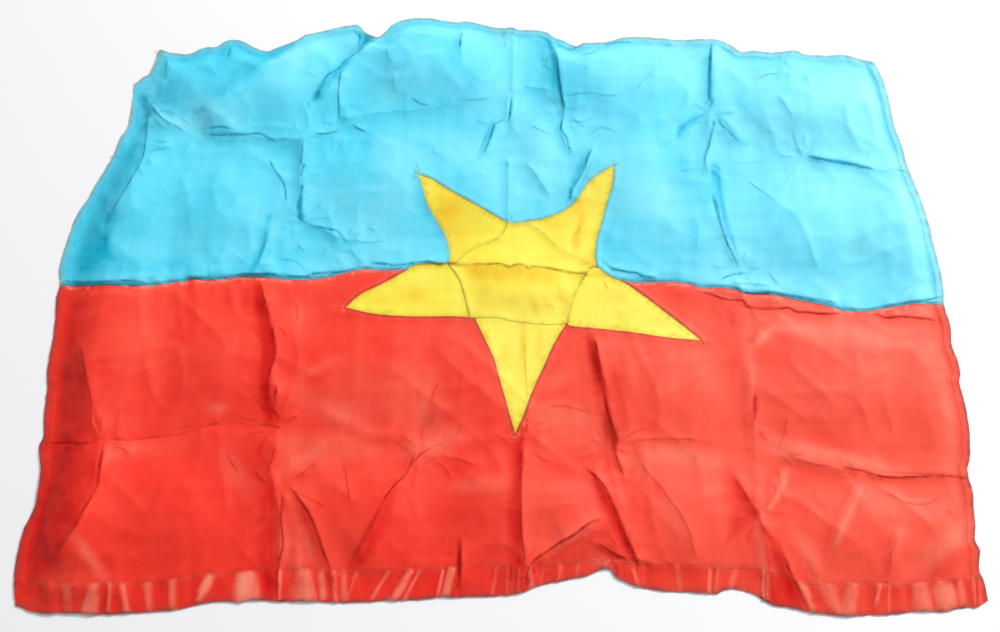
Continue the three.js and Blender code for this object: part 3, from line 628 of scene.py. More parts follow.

# Sunk hollows with painted shade, under lips and at the meeting of folds: middle, half-length, half-width, turn, depth
DIMPLES = [
    (-140, 286, 9, 4, 60, 1.3), (-143, 280, 8, 2.6, 75, 1.3), (-139, 291, 11, 4.5, 70, 1.2),
    (-134, 292, 8, 3, 45, 1.1), (-181, 229, 14, 2.6, 63, 1.2), (-157, 257, 8, 1.6, 55, 0.8),
    (-358, 212, 13, 3.4, 118, 0.9), (-354, 201, 5, 4, 0, 0.9), (-375, 62, 22, 4, 95, 0.35), (-378, 86, 8, 3, 80, 0.6),
    (52, 268, 20, 3, 98, 0.8), (57, 246, 16, 1.6, 94, 0.9), (9, 210, 14, 1.2, 85, 1.0), (-3, 195, 6, 1.4, 30, 1.0),
    (211, 236, 26, 2.2, 87, 0.75), (210, 215, 8, 1.8, 70, 1.0), (204, 170, 22, 1.8, 76, 0.8),
    (207, 103, 13, 1.5, 98, 1.1), (217, 84, 30, 3, 100, 0.35), (226, 186, 16, 3, 128, 0.5),
    (176, 184, 9, 2.6, 70, 0.5), (334, 150, 24, 2.6, 171, 0.45), (-194.5, 112, 18, 1.4, 88, 1.1),
    (-193, 92, 4, 2, 0, 1.0), (-227, 62, 20, 2.6, 75, 0.5), (81, 134, 28, 2, 66, 0.5), (-17, 176, 16, 1, 70, 0.7),
    (-213, -20, 40, 3.4, 100, 0.4), (-207, -85, 18, 2.6, 96, 0.8), (-204, -140, 16, 3, 92, 0.5),
    (-205, -188, 30, 4, 92, 0.45), (-120, -212, 24, 3, 62, 0.8), (14, -190, 60, 3.4, 90, 0.45),
    (-37, -243, 19, 1.9, 92, 1.3), (24, -246, 11, 2.2, 70, 1.1), (84, -52, 26, 3.6, 98, 0.8),
    (94, -88, 14, 2, 98, 0.9), (108, -214, 24, 3, 108, 0.75), (101, -125, 10, 2.6, 75, 0.8), (99, -237, 5, 3, 90, 0.8),
    (230, -92, 11, 1.9, 83, 1.1), (218, -172, 20, 3, 125, 0.7), (240, -236, 20, 5, 102, 0.6),
    (224, -190, 6, 3, 60, 0.7), (378, -156, 36, 1.5, 178, 0.8), (-362, -112, 12, 2, 108, 0.6),
    (-354, -150, 20, 1.4, 92, 0.8), (-380, -216, 20, 2, 58, 0.7), (212, 13, 12, 1.6, 165, 0.7),
    (240, 1, 16, 1.2, 178, 0.7), (100, 43, 8, 1.4, 130, 0.8), (-48, 44, 8, 1.6, 170, 1.0),
    (283, 267, 8, 1.4, 130, 0.7), (2, 296, 4, 3, 90, 0.6), (12, 300, 5, 1.4, 60, 0.6), (90, 272, 10, 1.6, 20, 0.7),
    (75, 280, 8, 1.6, 0, 0.8), (372, 262, 8, 2, 150, 0.6),
]

# Low puckers of the near hem, raised and with a highlight painted on them: X at its line and at its edge, half-width,
# strength
HEM_PUCKERS = [
    (-372, -368, 8, 0.6), (-349, -353, 5, 0.8), (-336, -337, 1.4, 1), (-327, -321, 2.6, 0.8), (-306, -301, 5, 0.6),
    (-284, -282, 5, 0.85), (-250, -262, 6.5, 1), (-221, -219, 7.5, 1), (-192, -191, 2, 0.9), (-173, -169, 8, 0.9),
    (-156, -153, 5, 0.9), (-147, -143, 1.4, 1), (-137, -135, 2.4, 0.4), (-126, -133, 2, 0.4), (-98, -112, 3, 0.6),
    (-77, -94, 3.4, 0.9), (-71, -83, 1.2, 0.9), (-50, -55, 1.4, 0.9), (-45, -50, 2.6, 0.8), (-41, -46, 1.4, 0.7),
    (-4, -8, 3, 0.45), (5, 5, 1, 0.4), (10, 9, 1, 0.4), (15, 14, 1, 0.4), (25, 26, 2, 0.7), (36, 32, 3, 0.3),
    (52, 46, 2, 0.35), (67, 62, 2, 0.3), (90, 86, 3, 0.5), (113, 118, 1.6, 0.6), (152, 154, 4, 0.35),
    (181, 178, 1.4, 0.6), (187, 184, 1.4, 0.6), (204, 194, 5, 0.35), (226, 225, 1.4, 0.9), (230, 228, 1, 0.8),
    (256, 267, 6, 0.95), (278, 290, 12, 0.5), (301, 297, 5, 0.7), (326, 319, 3, 0.95), (334, 331, 2, 0.4),
    (361, 362, 8, 0.75), (379, 381, 9, 0.85), (396, 397, 5, 0.6), (408, 406, 2, 0.6), (413, 411, 1.4, 0.6),
]

# Painted sheen: soft, paler highlights painted on the red cloth: middle, half-length, half-width, turn, strength
PAINTED_SHEEN = [
    (-150, -100, 40, 12, 155, 0.35), (-170, -60, 18, 5, 25, 0.35), (-258, -96, 9, 5, 10, 0.3),
    (-188, -8, 12, 12, 0, 0.3), (-175, -140, 26, 5, 35, 0.35), (-240, -150, 22, 10, 120, 0.35),
    (-180, -225, 30, 12, 120, 0.4), (-172, -210, 30, 4, 115, 0.5), (-60, -128, 30, 12, 20, 0.45),
    (-70, -90, 18, 4, 80, 0.3), (-20, -165, 30, 6, 0, 0.25), (60, -100, 26, 14, 170, 0.3), (50, -70, 20, 8, 20, 0.3),
    (55, -168, 36, 8, 0, 0.25), (66, -208, 22, 8, 25, 0.4), (84, -226, 12, 8, 100, 0.5), (120, -150, 22, 10, 130, 0.3),
    (160, -138, 46, 9, 172, 0.5), (150, -190, 20, 12, 120, 0.3), (178, -20, 22, 5, 150, 0.25),
    (248, -24, 24, 4, 42, 0.7), (285, -22, 36, 9, 165, 0.7), (340, -24, 60, 12, 170, 0.5),
    (270, -138, 40, 7, 168, 0.6), (330, -148, 40, 5, 170, 0.5), (246, -166, 20, 5, 58, 0.6),
    (228, -60, 60, 5, 90, 0.4), (227, -220, 40, 5, 90, 0.4), (300, -196, 40, 4, 62, 0.5),
    (352, -180, 40, 12, 165, 0.4), (390, -214, 40, 10, 35, 0.5), (268, -226, 26, 8, 115, 0.4),
    (345, -214, 16, 6, 60, 0.35), (300, -80, 80, 34, 0, 0.12), (150, -70, 40, 30, 0, 0.1), (404, -100, 8, 60, 0, 0.25),
    (-330, -134, 40, 8, 8, 0.2), (-392, -140, 30, 5, 0, 0.15), (-355, -228, 26, 5, 128, 0.4),
    (-205, 28, 30, 4, 0, 0.2),
]

# Painted shade and light on the flat parts of the cloth between its folds: shade painted where they turn from the
# light
# and light painted where they face it: tone, softness of the border, corners
PAINTED_FACET_SHADING = [
    (-0.42, 4, [(-344, 268), (-330, 268), (-300, 280), (-265, 286), (-245, 274), (-203, 294), (-222, 268), (-250, 242),
               (-278, 216), (-306, 194), (-326, 200), (-350, 216), (-344, 240)]),
    (-0.35, 3, [(-248, 274), (-203, 296), (-222, 268), (-250, 243), (-262, 256)]),
    (0.25, 8, [(-196, 298), (-240, 240), (-300, 190), (-262, 186), (-215, 222), (-180, 285)]),
    (0.5, 9, [(-322, 192), (-312, 212), (-300, 224), (-284, 216), (-284, 194), (-300, 184)]),
    (-0.4, 9, [(-420, 30), (-405, 100), (-378, 165), (-356, 170), (-354, 150), (-380, 92), (-372, 40)]),
    (-0.45, 4, [(-382, 96), (-370, 92), (-368, 44), (-384, 40)]),
    (-0.95, 1.5, [(-146, 300), (-128, 291), (-146, 273)]),
    (-0.8, 2, [(-150, 270), (-163, 258), (-187, 216), (-180, 217), (-168, 236), (-155, 252)]),
    (-0.35, 6, [(-372, 235), (-352, 214), (-354, 180), (-368, 180)]),
    (-0.45, 2.5, [(44, 290), (50, 262), (51, 236), (58, 232), (56, 262), (50, 294)]),
    (-0.25, 5, [(32, 290), (42, 262), (44, 236), (52, 232), (52, 262), (46, 294)]),
    (-0.75, 2, [(207, 216), (209, 246), (214, 286), (218, 286), (214, 246), (212, 216)]),
    (-0.35, 12, [(150, 190), (196, 150), (200, 60), (180, 40), (160, 100)]),
    (-0.8, 2.5, [(212, 205), (222, 192), (236, 170), (244, 168), (232, 184), (220, 200)]),
    (-0.8, 2, [(172, 179), (178, 190), (192, 201), (206, 206), (194, 196), (182, 186), (177, 176)]),
    (-0.65, 2, [(303, 157.5), (330, 155), (364, 143.5), (330, 149.5)]),
    (-0.85, 2.5, [(205, 150), (214, 150), (217, 95), (227, 48), (214, 78), (207, 112)]),
    (-0.55, 7, [(-405, 32), (-330, 29), (-288, 38), (-300, 50), (-340, 46), (-398, 62)]),
    (-0.75, 2.5, [(-221, 96), (-227, 60), (-234, 36), (-239, 36), (-231, 62), (-227, 92)]),
    (-0.9, 1.5, [(-197.5, 134), (-195.5, 112), (-196.5, 90), (-191, 90), (-193, 112)]),
    (-0.55, 2, [(64, 104), (67, 130), (86, 163), (91, 165), (75, 131), (69, 108)]),
    (-0.4, 3, [(-20, 152), (-12, 180), (-3, 196), (-8, 198), (-16, 182), (-24, 156)]),
    (-0.3, 5, [(-192, 82), (-150, 74), (-118, 62), (-150, 60), (-196, 74)]),
    (0.2, 16, [(-60, 190), (0, 170), (0, 110), (-60, 140)]),
    (0.3, 16, [(-122, 262), (-70, 272), (-52, 222), (-118, 208)]),
    (0.22, 18, [(-125, 186), (-66, 186), (-84, 140), (-80, 95), (-125, 90)]),
    (0.22, 14, [(12, 188), (48, 178), (58, 150), (40, 112), (12, 112)]),
    (0.22, 15, [(-160, -50), (-60, -62), (-20, -100), (-60, -116), (-160, -100)]),
    (0.2, 18, [(100, 180), (160, 160), (170, 80), (110, 100)]),
    (-0.75, 3, [(-233, 32), (-222, 6), (-209, -40), (-211, -72), (-204, -110), (-213, -111), (-223, -72), (-220, -40),
                (-232, 4)]),
    (-0.25, 9, [(-424, 20), (-400, 22), (-390, -30), (-366, -112), (-380, -128), (-424, -128)]),
    (-0.5, 7, [(-424, -126), (-356, -124), (-355, -165), (-368, -205), (-392, -240), (-424, -262)]),
    (-0.2, 8, [(-356, -124), (-262, -112), (-206, -116), (-202, -238), (-390, -244), (-366, -205)]),
    (-0.6, 3, [(-207, -150), (-197, -190), (-195, -262), (-206, -262), (-214, -190)]),
    (-0.3, 4, [(-194, -176), (-170, -190), (-152, -228), (-147, -250), (-188, -250), (-192, -210)]),
    (-0.65, 3, [(-92, -162), (-107, -187), (-131, -238), (-118, -236), (-98, -196)]),
    (-0.65, 3, [(20, -124), (16, -180), (18, -238), (7, -238), (6, -180), (12, -126)]),
    (-0.2, 10, [(-60, -180), (10, -170), (10, -236), (-60, -236)]),
    (-0.55, 3, [(83, -24), (92, -52), (97, -88), (88, -64), (79, -30)]),
    (-0.55, 3, [(96, -92), (103, -124), (102, -134), (94, -126), (92, -100)]),
    (-0.7, 2.5, [(82, -154), (101, -190), (115, -226), (107, -226), (95, -195), (80, -164)]),
    (-0.4, 5, [(30, -236), (66, -210), (92, -200), (100, -226), (76, -228), (50, -232)]),
    (-0.7, 3, [(226, -190), (238, -212), (250, -246), (262, -276), (232, -274), (229, -230)]),
    (-0.6, 4, [(204, -150), (226, -188), (215, -202), (196, -216), (206, -186)]),
    (-0.9, 2, [(229, -84), (227, -96), (227, -112), (232, -98), (232, -86)]),
    (-0.25, 8, [(140, 25), (190, 20), (234, 8), (226, -14), (178, 2)]),
    (-0.3, 7, [(206, -8), (226, -10), (228, -62), (214, -60)]),
    (0.45, 4, [(236, -124), (290, -142), (335, -150), (335, -142), (292, -132), (246, -118)]),
    (0.7, 1.6, [(254, -156), (242, -176), (233, -187), (238, -187), (249, -173)]),
    (-0.45, 2, [(252, -158), (240, -178), (232, -188), (232, -180), (244, -164)]),
    (0.6, 1.5, [(320, -166), (303, -191), (288, -218), (290, -218), (306, -192)]),
    (-0.3, 4, [(372, -240), (400, -214), (410, -222), (386, -244)]),
    (-0.3, 4, [(345, -200), (340, -222), (334, -246), (328, -246), (334, -218)]),
    (0.35, 6, [(240, -30), (262, -10), (330, -20), (380, -34), (330, -34), (270, -24)]),
    (-0.25, 5, [(-250, -130), (-236, -156), (-214, -158), (-226, -136)]),
    (0.3, 7, [(-200, -118), (-140, -118), (-110, -134), (-150, -150), (-190, -150)]),
    (0.25, 7, [(110, -142), (160, -132), (200, -140), (190, -180), (150, -170)]),
    (0.22, 9, [(40, -90), (90, -100), (94, -134), (40, -124)]),
    (-0.5, 2.5, [(76, 92), (70, 72), (66, 66), (72, 60), (76, 74)]),
    (-0.35, 4, [(-34, 43), (44, 38), (40, 26), (18, 34), (0, 28), (-30, 34)]),
]

# Ochre parts of the star: browned patches, and painted shade below its main crease
OCHRE_AND_PAINTED_SHADE = [
    (-52, 95, 12, 22, 0.55), (-44, 74, 10, 12, 0.45), (-20, 36, 12, 12, 0.55), (0, 34, 10, 10, 0.5),
    (15, 36, 8, 9, 0.45), (30, 34, 8, 10, 0.5), (45, 30, 8, 8, 0.4), (60, 12, 4, 14, 0.5), (72, 68, 4, 12, 0.4),
    (78, 92, 2.4, 14, 0.5), (50, 86, 12, 8, 0.4), (74, 102, 12, 12, 0.35), (20, -38, 3, 30, 0.45),
    (-82, 14, 14, 8, 0.35), (8, 8, 14, 8, 0.3), (-15, 18, 6, 14, 0.35), (38, 6, 14, 6, 0.3), (110, 10, 16, 6, 0.25),
    (150, -14, 14, 5, 0.2), (-110, 8, 14, 5, 0.25), (14, -80, 5, 20, 0.3), (2, -50, 4, 14, 0.3), (36, -36, 4, 14, 0.3),
    (-45, 56, 8, 8, 0.5), (86, 48, 6, 8, 0.4),
]

# Stains: middle, half-widths and strength
STAINS = [
    (-297, 183, 7, 6, 0.2), (-65, -105, 12, 9, 0.45), (98, -115, 8, 14, 0.45), (-400, -60, 6, 5, 0.3),
    (371, 266, 9, 5, 0.7), (4, 295, 9, 8, 0.5), (-348, 262, 8, 10, 0.2), (340, 65, 14, 16, 0.25),
    (320, 25, 14, 9, 0.25),
]


def ease(value, low, high):
    """Rises smoothly from 0 at low to 1 at high."""
    t = np.clip((value - low) / (high - low), 0, 1)
    return t * t * (3 - 2 * t)


def bell(away, width):
    """1 where away is 0, falling off softly to both sides."""
    return np.exp(-(away / width) ** 2)


def spot(x, y, px, py, rx, ry):
    """1 at the middle of a soft spot, falling off over its half-widths."""
    return np.exp(-((x - px) / rx) ** 2 - ((y - py) / ry) ** 2)


def heading(turn):
    return math.cos(math.radians(turn)), math.sin(math.radians(turn))


def noise(x, y, wave_x, wave_y, seed):
    """Smooth noise from -1 to 1 with its own wavelength along X and along Y."""
    table = np.random.default_rng(seed).uniform(-1, 1, (256, 256))
    u, v = x / wave_x + 100, y / wave_y + 100
    i, j = np.floor(u).astype(int), np.floor(v).astype(int)
    s, t = u - i, v - j
    s, t = s * s * (3 - 2 * s), t * t * (3 - 2 * t)

    def corner(a, b):
        return table[(i + a) % 256, (j + b) % 256]

    near = corner(0, 0) * (1 - s) + corner(1, 0) * s
    far = corner(0, 1) * (1 - s) + corner(1, 1) * s
    return near * (1 - t) + far * t


def ripples(x, y, layers):
    return sum(height * noise(x, y, *layer) for height, *layer in layers)


def along(line):
    """How far along a line each of its points is."""
    return np.concatenate([[0], np.cumsum(np.linalg.norm(np.diff(line, axis=0), axis=1))])


def spaced(line, step):
    """The same line with its points a step apart."""
    s = along(line)
    at = np.linspace(0, s[-1], max(2, int(round(s[-1] / step)) + 1))
    return np.column_stack([np.interp(at, s, line[:, 0]), np.interp(at, s, line[:, 1])])


def smooth_line(corners, step):
    """Points a step apart on a smooth curve through the corners."""
    p = np.array(corners, float)
    last = len(p) - 1
    t = np.linspace(0, last, last * 24 + 1)
    i = np.minimum(t.astype(int), last - 1)
    w = (t - i)[:, None]
    a, b, c, d = p[np.maximum(i - 1, 0)], p[i], p[i + 1], p[np.minimum(i + 2, last)]
    v0, v1 = (c - a) / 2, (d - b) / 2
    curve = (2 * b - 2 * c + v0 + v1) * w ** 3 + (-3 * b + 3 * c - 2 * v0 - v1) * w ** 2 + v0 * w + b
    return spaced(curve, step)


def spread(line, by):
    """Moves a line to the right of the way it runs."""
    t = np.gradient(line, axis=0)
    t /= np.maximum(np.linalg.norm(t, axis=1), 1e-9)[:, None]
    by = np.broadcast_to(by, len(line))
    return line + np.column_stack([t[:, 1] * by, -t[:, 0] * by])


def taper(line, length):
    """0 at both ends of a line and 1 further in than a length."""
    s = along(line)
    return ease(np.minimum(s, s[-1] - s), 0, length)


def joined(*lines):
    """Lines end to end, without the point that two of them share."""
    out = [lines[0]]
    for line in lines[1:]:
        close = np.linalg.norm(line[0] - out[-1][-1]) < TOUCHING
        out.append(line[1:] if close else line)
    return np.vstack(out)


def crossings(point, run, starts, runs):
    """Where a segment crosses others: the share along it, and the share along each of them."""
    cross = run[0] * runs[:, 1] - run[1] * runs[:, 0]
    cross = np.where(np.abs(cross) < TINY, TINY, cross)
    gap = starts - point
    return ((gap[:, 0] * runs[:, 1] - gap[:, 1] * runs[:, 0]) / cross,
            (gap[:, 0] * run[1] - gap[:, 1] * run[0]) / cross)


def cut_at(line, other):
    """The two parts of a line before and after its first crossing with another."""
    for i in range(len(line) - 1):
        run = line[i + 1] - line[i]
        t, u = crossings(line[i], run, other[:-1], np.diff(other, axis=0))
        hit = np.where((t >= 0) & (t < 1) & (u >= 0) & (u < 1))[0]
        if len(hit):
            point = line[i] + run * t[hit[0]]
            return np.vstack([line[:i + 1], point]), np.vstack([point, line[i + 1:]])
    raise ValueError("the lines do not cross")


def wandering(line, seed):
    """A route that wanders a little to both sides."""
    shift = [noise(*line.T, WANDER_LENGTH, WANDER_LENGTH, seed + more) for more in (0, 1)]
    return line + np.column_stack(shift) * WANDER * taper(line, WANDER_FADE)[:, None]


def within_box(x, y, low, high):
    return np.where((x > low[0]) & (x < high[0]) & (y > low[1]) & (y < high[1]))[0]


def beside(x, y, line, reach):
    """The points within reach of a line: which, how far to its left, how far along it, and how far from its end."""
    which = within_box(x, y, line.min(axis=0) - reach, line.max(axis=0) + reach)
    px, py = x[which], y[which]
    best = np.full(len(which), np.inf)
    left, at = np.zeros(len(which)), np.zeros(len(which))
    s = along(line)
    for i in range(len(line) - 1):
        a, d = line[i], line[i + 1] - line[i]
        size = np.hypot(*d)
        gx, gy = px - a[0], py - a[1]
        t = np.clip((gx * d[0] + gy * d[1]) / size ** 2, 0, 1)
        away = (gx - t * d[0]) ** 2 + (gy - t * d[1]) ** 2
        closer = away < best
        best[closer] = away[closer]
        left[closer] = np.sign((gy * d[0] - gx * d[1])[closer]) * np.sqrt(away[closer])
        at[closer] = s[i] + t[closer] * size
    return which, left, at, s[-1] - at


def nearest(x, y, lines, reach):
    """The distance to the nearest of some lines, up to a reach, and in whole millimetres if that is an int."""
    out = np.full(len(x), reach)
    for line in lines:
        which, left, _, _ = beside(x, y, line, reach)
        out[which] = np.minimum(out[which], np.abs(left))
    return out


def closed(loop):
    return np.vstack([loop, loop[:1]])


def inside(loop, points):
    """Which points lie inside a closed outline."""
    x, y = np.array(points).T
    hit = np.zeros(len(x), bool)
    for (ax, ay), (bx, by) in zip(loop, np.roll(loop, -1, axis=0)):
        if ay == by:
            continue
        rows = (y > min(ay, by)) & (y <= max(ay, by))
        hit[rows] ^= x[rows] < ax + (y[rows] - ay) * (bx - ax) / (by - ay)
    return hit


def fold_profile(left, step, run):
    """A concave steep side up to a sharp crest, and a long run down on the raised side."""
    away = np.maximum(left, 0) / run
    raised = CREST_SHARE * np.exp(-3 * away) + (1 - CREST_SHARE) * np.exp(-away ** 1.4)
    return np.where(left < 0, np.exp(np.minimum(left, 0) / step), raised)


# Every fold and crease as its height, step, run, fade, groove and route
creases = []
for height, step, run, route in FOLDS:
    share = STEEP_SHARE if step < STEEP_REACH else 1
    creases.append((share * height, step, run, FOLD_FADE, FOLD_GROOVE, smooth_line(route, ROUTE_STEP)))


def add_crease(height, step, run, groove, route):
    line = wandering(smooth_line(route, CREASE_STEP), len(creases))
    creases.append((height, step, run, CREASE_FADE, groove, line))


for profile, routes in ((STRONG, STRONG_CREASES), (CLEAR, CLEAR_CREASES), (FINE, FINE_CREASES), (SOFT, SOFT_CREASES)):
    for route in routes:
        add_crease(*profile, route)


def add_wrinkle(chance, x, y, turn, length, height, groove):
    """A short, slightly bent crease that starts at a point and runs away from it."""
    c, s = heading(turn)
    bend = chance.normal(0, WRINKLE_BEND) * length
    route = [(x, y), (x + c * length / 2 - s * bend, y + s * length / 2 + c * bend), (x + c * length, y + s * length)]
    # Raised cloth lies on the far or right side, as on the main folds
    if 45 <= turn % 360 <= 225:
        route.reverse()
    add_crease(height, chance.uniform(*WRINKLE_STEP), chance.uniform(*WRINKLE_RUN), groove, route)


chance = np.random.default_rng(KNOT_SEED)
for x, y, count, reach in KNOTS:
    first = chance.uniform(0, 360)
    for number in range(count):
        turn = first + 360 * (number + chance.uniform(-KNOT_SPREAD, KNOT_SPREAD)) / count
        start = chance.uniform(KNOT_START, KNOT_START_SHARE * reach)
        c, s = heading(turn)
        add_wrinkle(chance, x + start * c, y + start * s, turn + chance.normal(0, KNOT_SWERVE),
                    reach * chance.uniform(*KNOT_LENGTH), chance.uniform(*KNOT_HEIGHT), chance.uniform(*KNOT_GROOVE))
for _ in range(CHANCE_CREASES):
    turn = chance.choice(CHANCE_TURNS) + chance.normal(0, CHANCE_SWERVE)
    add_wrinkle(chance, chance.uniform(*CHANCE_X), chance.uniform(*CHANCE_Y), turn, chance.uniform(*CHANCE_LENGTH),
                chance.uniform(*CHANCE_HEIGHT), CHANCE_GROOVE)

crests = [smooth_line(route, ROUTE_STEP) for route in CRESTS]
seam_line, left_side, *other_sides = [
    smooth_line(route, ROUTE_STEP) for route in (PANEL_SEAM, LEFT_EDGE, NEAR_EDGE, RIGHT_EDGE, FAR_EDGE)]
star_plan = [smooth_line(side, ROUTE_STEP) for side in STAR_SIDES]


def star_ease(x, y):
    """1 outside the star and less inside it, where no seam runs along the dip."""
    within = inside(np.vstack(star_plan), np.column_stack([x, y]))
    outside = ease(nearest(x, y, star_plan, STAR_EASE), 0, STAR_EASE)
    return IN_STAR + (1 - IN_STAR) * np.where(within, 0, outside)


def patch(x, y, place):
    """The points near a long soft patch, and how strong it is at each."""
    px, py, length, width, turn, strength = place
    near = np.where((np.abs(x - px) < 2.4 * length + width) & (np.abs(y - py) < 2.4 * length + width))[0]
    c, s = heading(turn)
    gx, gy = x[near] - px, y[near] - py
    return near, strength * spot(gx * c + gy * s, gy * c - gx * s, 0, 0, length, width)


def painted_facet_shading(x, y):
    """How much shade (below 0) or light is painted on the flat parts between folds."""
    tone = np.zeros(len(x))
    for strength, soft, corners in PAINTED_FACET_SHADING:
        loop = np.array(corners, float)
        near = within_box(x, y, loop.min(axis=0) - soft, loop.max(axis=0) + soft)
        if not len(near):
            continue
        border = nearest(x[near], y[near], [closed(loop)], 3 * soft)
        side = np.where(inside(loop, np.column_stack([x[near], y[near]])), border, -border)
        tone[near] += strength * ease(side, -soft, soft)
    return tone


def relief(x, y):
    """How high the cloth's underside lies over the surface below it, and how much shade is painted in its creases and
    dimples.
    """
    lie = np.full(len(x), -SETTLE)
    for *place, height in SWELLS:
        lie += height * spot(x, y, *place)
    crease = np.zeros(len(x))
    for number, (height, step, run, fade, groove, line) in enumerate(creases):
        which, left, at, rest = beside(x, y, line, max(RUN_REACH * run, STEP_REACH * step))
        wave = max(SWING_WAVE, SWING_RUNS * run)
        swing = 1 + SWING * noise(at, np.full(len(at), number * SWING_SHIFT), wave, 1, SWING_SEED)
        ends = ease(np.minimum(at, rest), 0, min(fade, FADE_SHARE * along(line)[-1]))
        # The groove's mark also paints shade into the crease
        cleft = bell(left, GROOVE_WIDTH) * groove * ends * swing
        lie[which] += height * swing * ends * fold_profile(left, step, run) - GROOVE_DEPTH * cleft
        crease[which] = np.maximum(crease[which], cleft)
    for line in crests:
        which, left, at, rest = beside(x, y, line, 3 * CREST_WIDTH)
        lie[which] += CREST_HEIGHT * ease(np.minimum(at, rest), 0, CREST_FADE) * bell(left, CREST_WIDTH)
    for dimple in DIMPLES:
        near, part = patch(x, y, dimple)
        lie[near] -= DIMPLE_DEPTH * part
        crease[near] = np.maximum(crease[near], DIMPLE_SHADE * part)
    edge = nearest(x, y, [left_side], LEFT_SLOPE_END)
    sinking = np.exp(-np.maximum(edge - LEFT_SLOPE_WIDTH, 0) / LEFT_SLOPE_REACH)
    lie += LEFT_SLOPE * ease(edge, LEFT_SLOPE_START, LEFT_SLOPE_WIDTH) * sinking
    which, left, at, _ = beside(x, y, seam_line, 4 * SEAM_DIP_WIDTH)
    dip = SEAM_DIP * (1 + ripples(at, left, SEAM_DRAWN)) * bell(left, SEAM_DIP_WIDTH)
    puckers = ripples(at, left, SEAM_PUCKERS) * bell(left, SEAM_PUCKER_WIDTH)
    lie[which] += (puckers - dip) * star_ease(x[which], y[which])
    lie += ripples(x, y, UNEVEN)
    for number, (turn, wave, height) in enumerate(CRUMPLES):
        c, s = heading(turn)
        seed = CRUMPLE_SEED + number
        folded = 1 - np.abs(noise(x * c + y * s, y * c - x * s, wave, CRUMPLE_LENGTH * wave, seed))
        *waves, seed = CRUMPLED
        lie += height * ease(noise(x, y, *waves, seed + number), *CRUMPLED_FROM_TO) * folded ** 3
    border = nearest(x, y, [left_side, *other_sides], EDGE_SETTLE_WIDTH)
    lie *= 1 - EDGE_SETTLE * (1 - ease(border, 0, EDGE_SETTLE_WIDTH))
    return 0.5 * (lie + np.sqrt(lie ** 2 + TOUCH_SOFTNESS)), crease


def worn(corners, seed):
    line = smooth_line(corners, EDGE_STEP)
    rough = ripples(*line.T, [(1, 5, 5, seed), (0.6, 2.4, 2.4, seed + 1)])
    return spread(line, EDGE_WEAR * rough * taper(line, EDGE_WEAR_FADE))


near_edge, right_edge, far_edge, left_edge = outer_edges = [
    worn(edge, seed) for edge, seed in ((NEAR_EDGE, 101), (RIGHT_EDGE, 103), (FAR_EDGE, 105), (LEFT_EDGE, 107))]
seam = smooth_line(PANEL_SEAM, EDGE_STEP)
sides = [smooth_line(side, EDGE_STEP) for side in STAR_SIDES]
middle_sides = [smooth_line(side, EDGE_STEP) for side in STAR_MIDDLE_SIDES]
star_line = joined(*sides)
hem_line = smooth_line(NEAR_HEM_LINE, EDGE_STEP)

left_lower, left_upper = cut_at(left_edge, seam)
right_lower, right_upper = cut_at(right_edge, seam)
seam_left, _ = cut_at(cut_at(seam, left_edge)[1], sides[8])
seam_right, _ = cut_at(cut_at(seam, sides[3])[1], right_edge)
left_arm_red, left_arm_blue = cut_at(sides[8], seam)
right_arm_blue, right_arm_red = cut_at(sides[3], seam)
panel_seams = [seam_left, seam_right]


def untangled(loop):
    """The outline without the small loops that a sharp corner leaves where it is moved inwards."""
    i = 0
    while i < len(loop):
        count = len(loop)
        runs = np.roll(loop, -1, axis=0) - loop
        t, u = crossings(loop[i], runs[i], loop, runs)
        away = np.abs(np.arange(count) - i)
        hits = np.where((t > 0) & (t < 1) & (u > 0) & (u < 1) & (away > 1) & (away < count - 1))[0]
        if not len(hits):
            i += 1
            continue
        j = int(hits[0])
        point = loop[i] + runs[i] * t[j]
        first, last = min(i, j), max(i, j)
        if last - first < count / 2:
            loop = np.vstack([loop[:first + 1], point, loop[last + 1:]])
        else:
            loop = np.vstack([point, loop[first + 1:last + 1]])
        i = 0
    return loop


def loop_of(*parts):
    """A closed outline from lines that follow each other, each moved outwards by its own amount."""
    points, moves = [], []
    for line, by in parts:
        skip = 1 if points and np.linalg.norm(line[0] - points[-1][-1]) < TOUCHING else 0
        points.append(line[skip:])
        moves.append(np.broadcast_to(np.array(by, float), len(line))[skip:])
    points, moves = np.vstack(points), np.concatenate(moves)
    if np.linalg.norm(points[0] - points[-1]) < TOUCHING:
        points, moves = points[:-1], moves[:-1]
    t = np.roll(points, -1, axis=0) - np.roll(points, 1, axis=0)
    t /= np.linalg.norm(t, axis=1)[:, None]
    loop = untangled(points + np.column_stack([t[:, 1] * moves, -t[:, 0] * moves]))
    filled = []
    for a, b in zip(loop, np.roll(loop, -1, axis=0)):
        count = max(1, int(round(np.hypot(*(b - a)) / EDGE_STEP)))
        filled += [a + (b - a) * i / count for i in range(count)]
    return np.array(filled)


def lap_width(line):
    """How far the red cloth's edge runs under the blue, less near the star and the outer edges."""
    clear = ease(nearest(*line.T, [star_line], CLEAR_REACH), *CLEAR_OF_STAR)
    for edge in (left_edge, right_edge):
        clear = clear * ease(nearest(*line.T, [edge], CLEAR_REACH), *CLEAR_OF_EDGES)
    return INSET + (LAP - INSET) * clear


red_star = joined(right_arm_red, *sides[4:8], left_arm_red)
blue_loop = loop_of(
    (joined(seam_left, left_arm_blue, sides[9], *sides[:3], right_arm_blue, seam_right), INSET),
    (right_upper, 0), (far_edge[::-1], 0), (left_upper[::-1], 0))
red_loop = loop_of(
    (near_edge, 0), (right_lower, 0), (seam_right[::-1], lap_width(seam_right[::-1])), (red_star, INSET),
    (seam_left[::-1], lap_width(seam_left[::-1])), (left_lower[::-1], 0))
middle_loop = loop_of(*[(side[::-1], INSET) for side in middle_sides[::-1]])


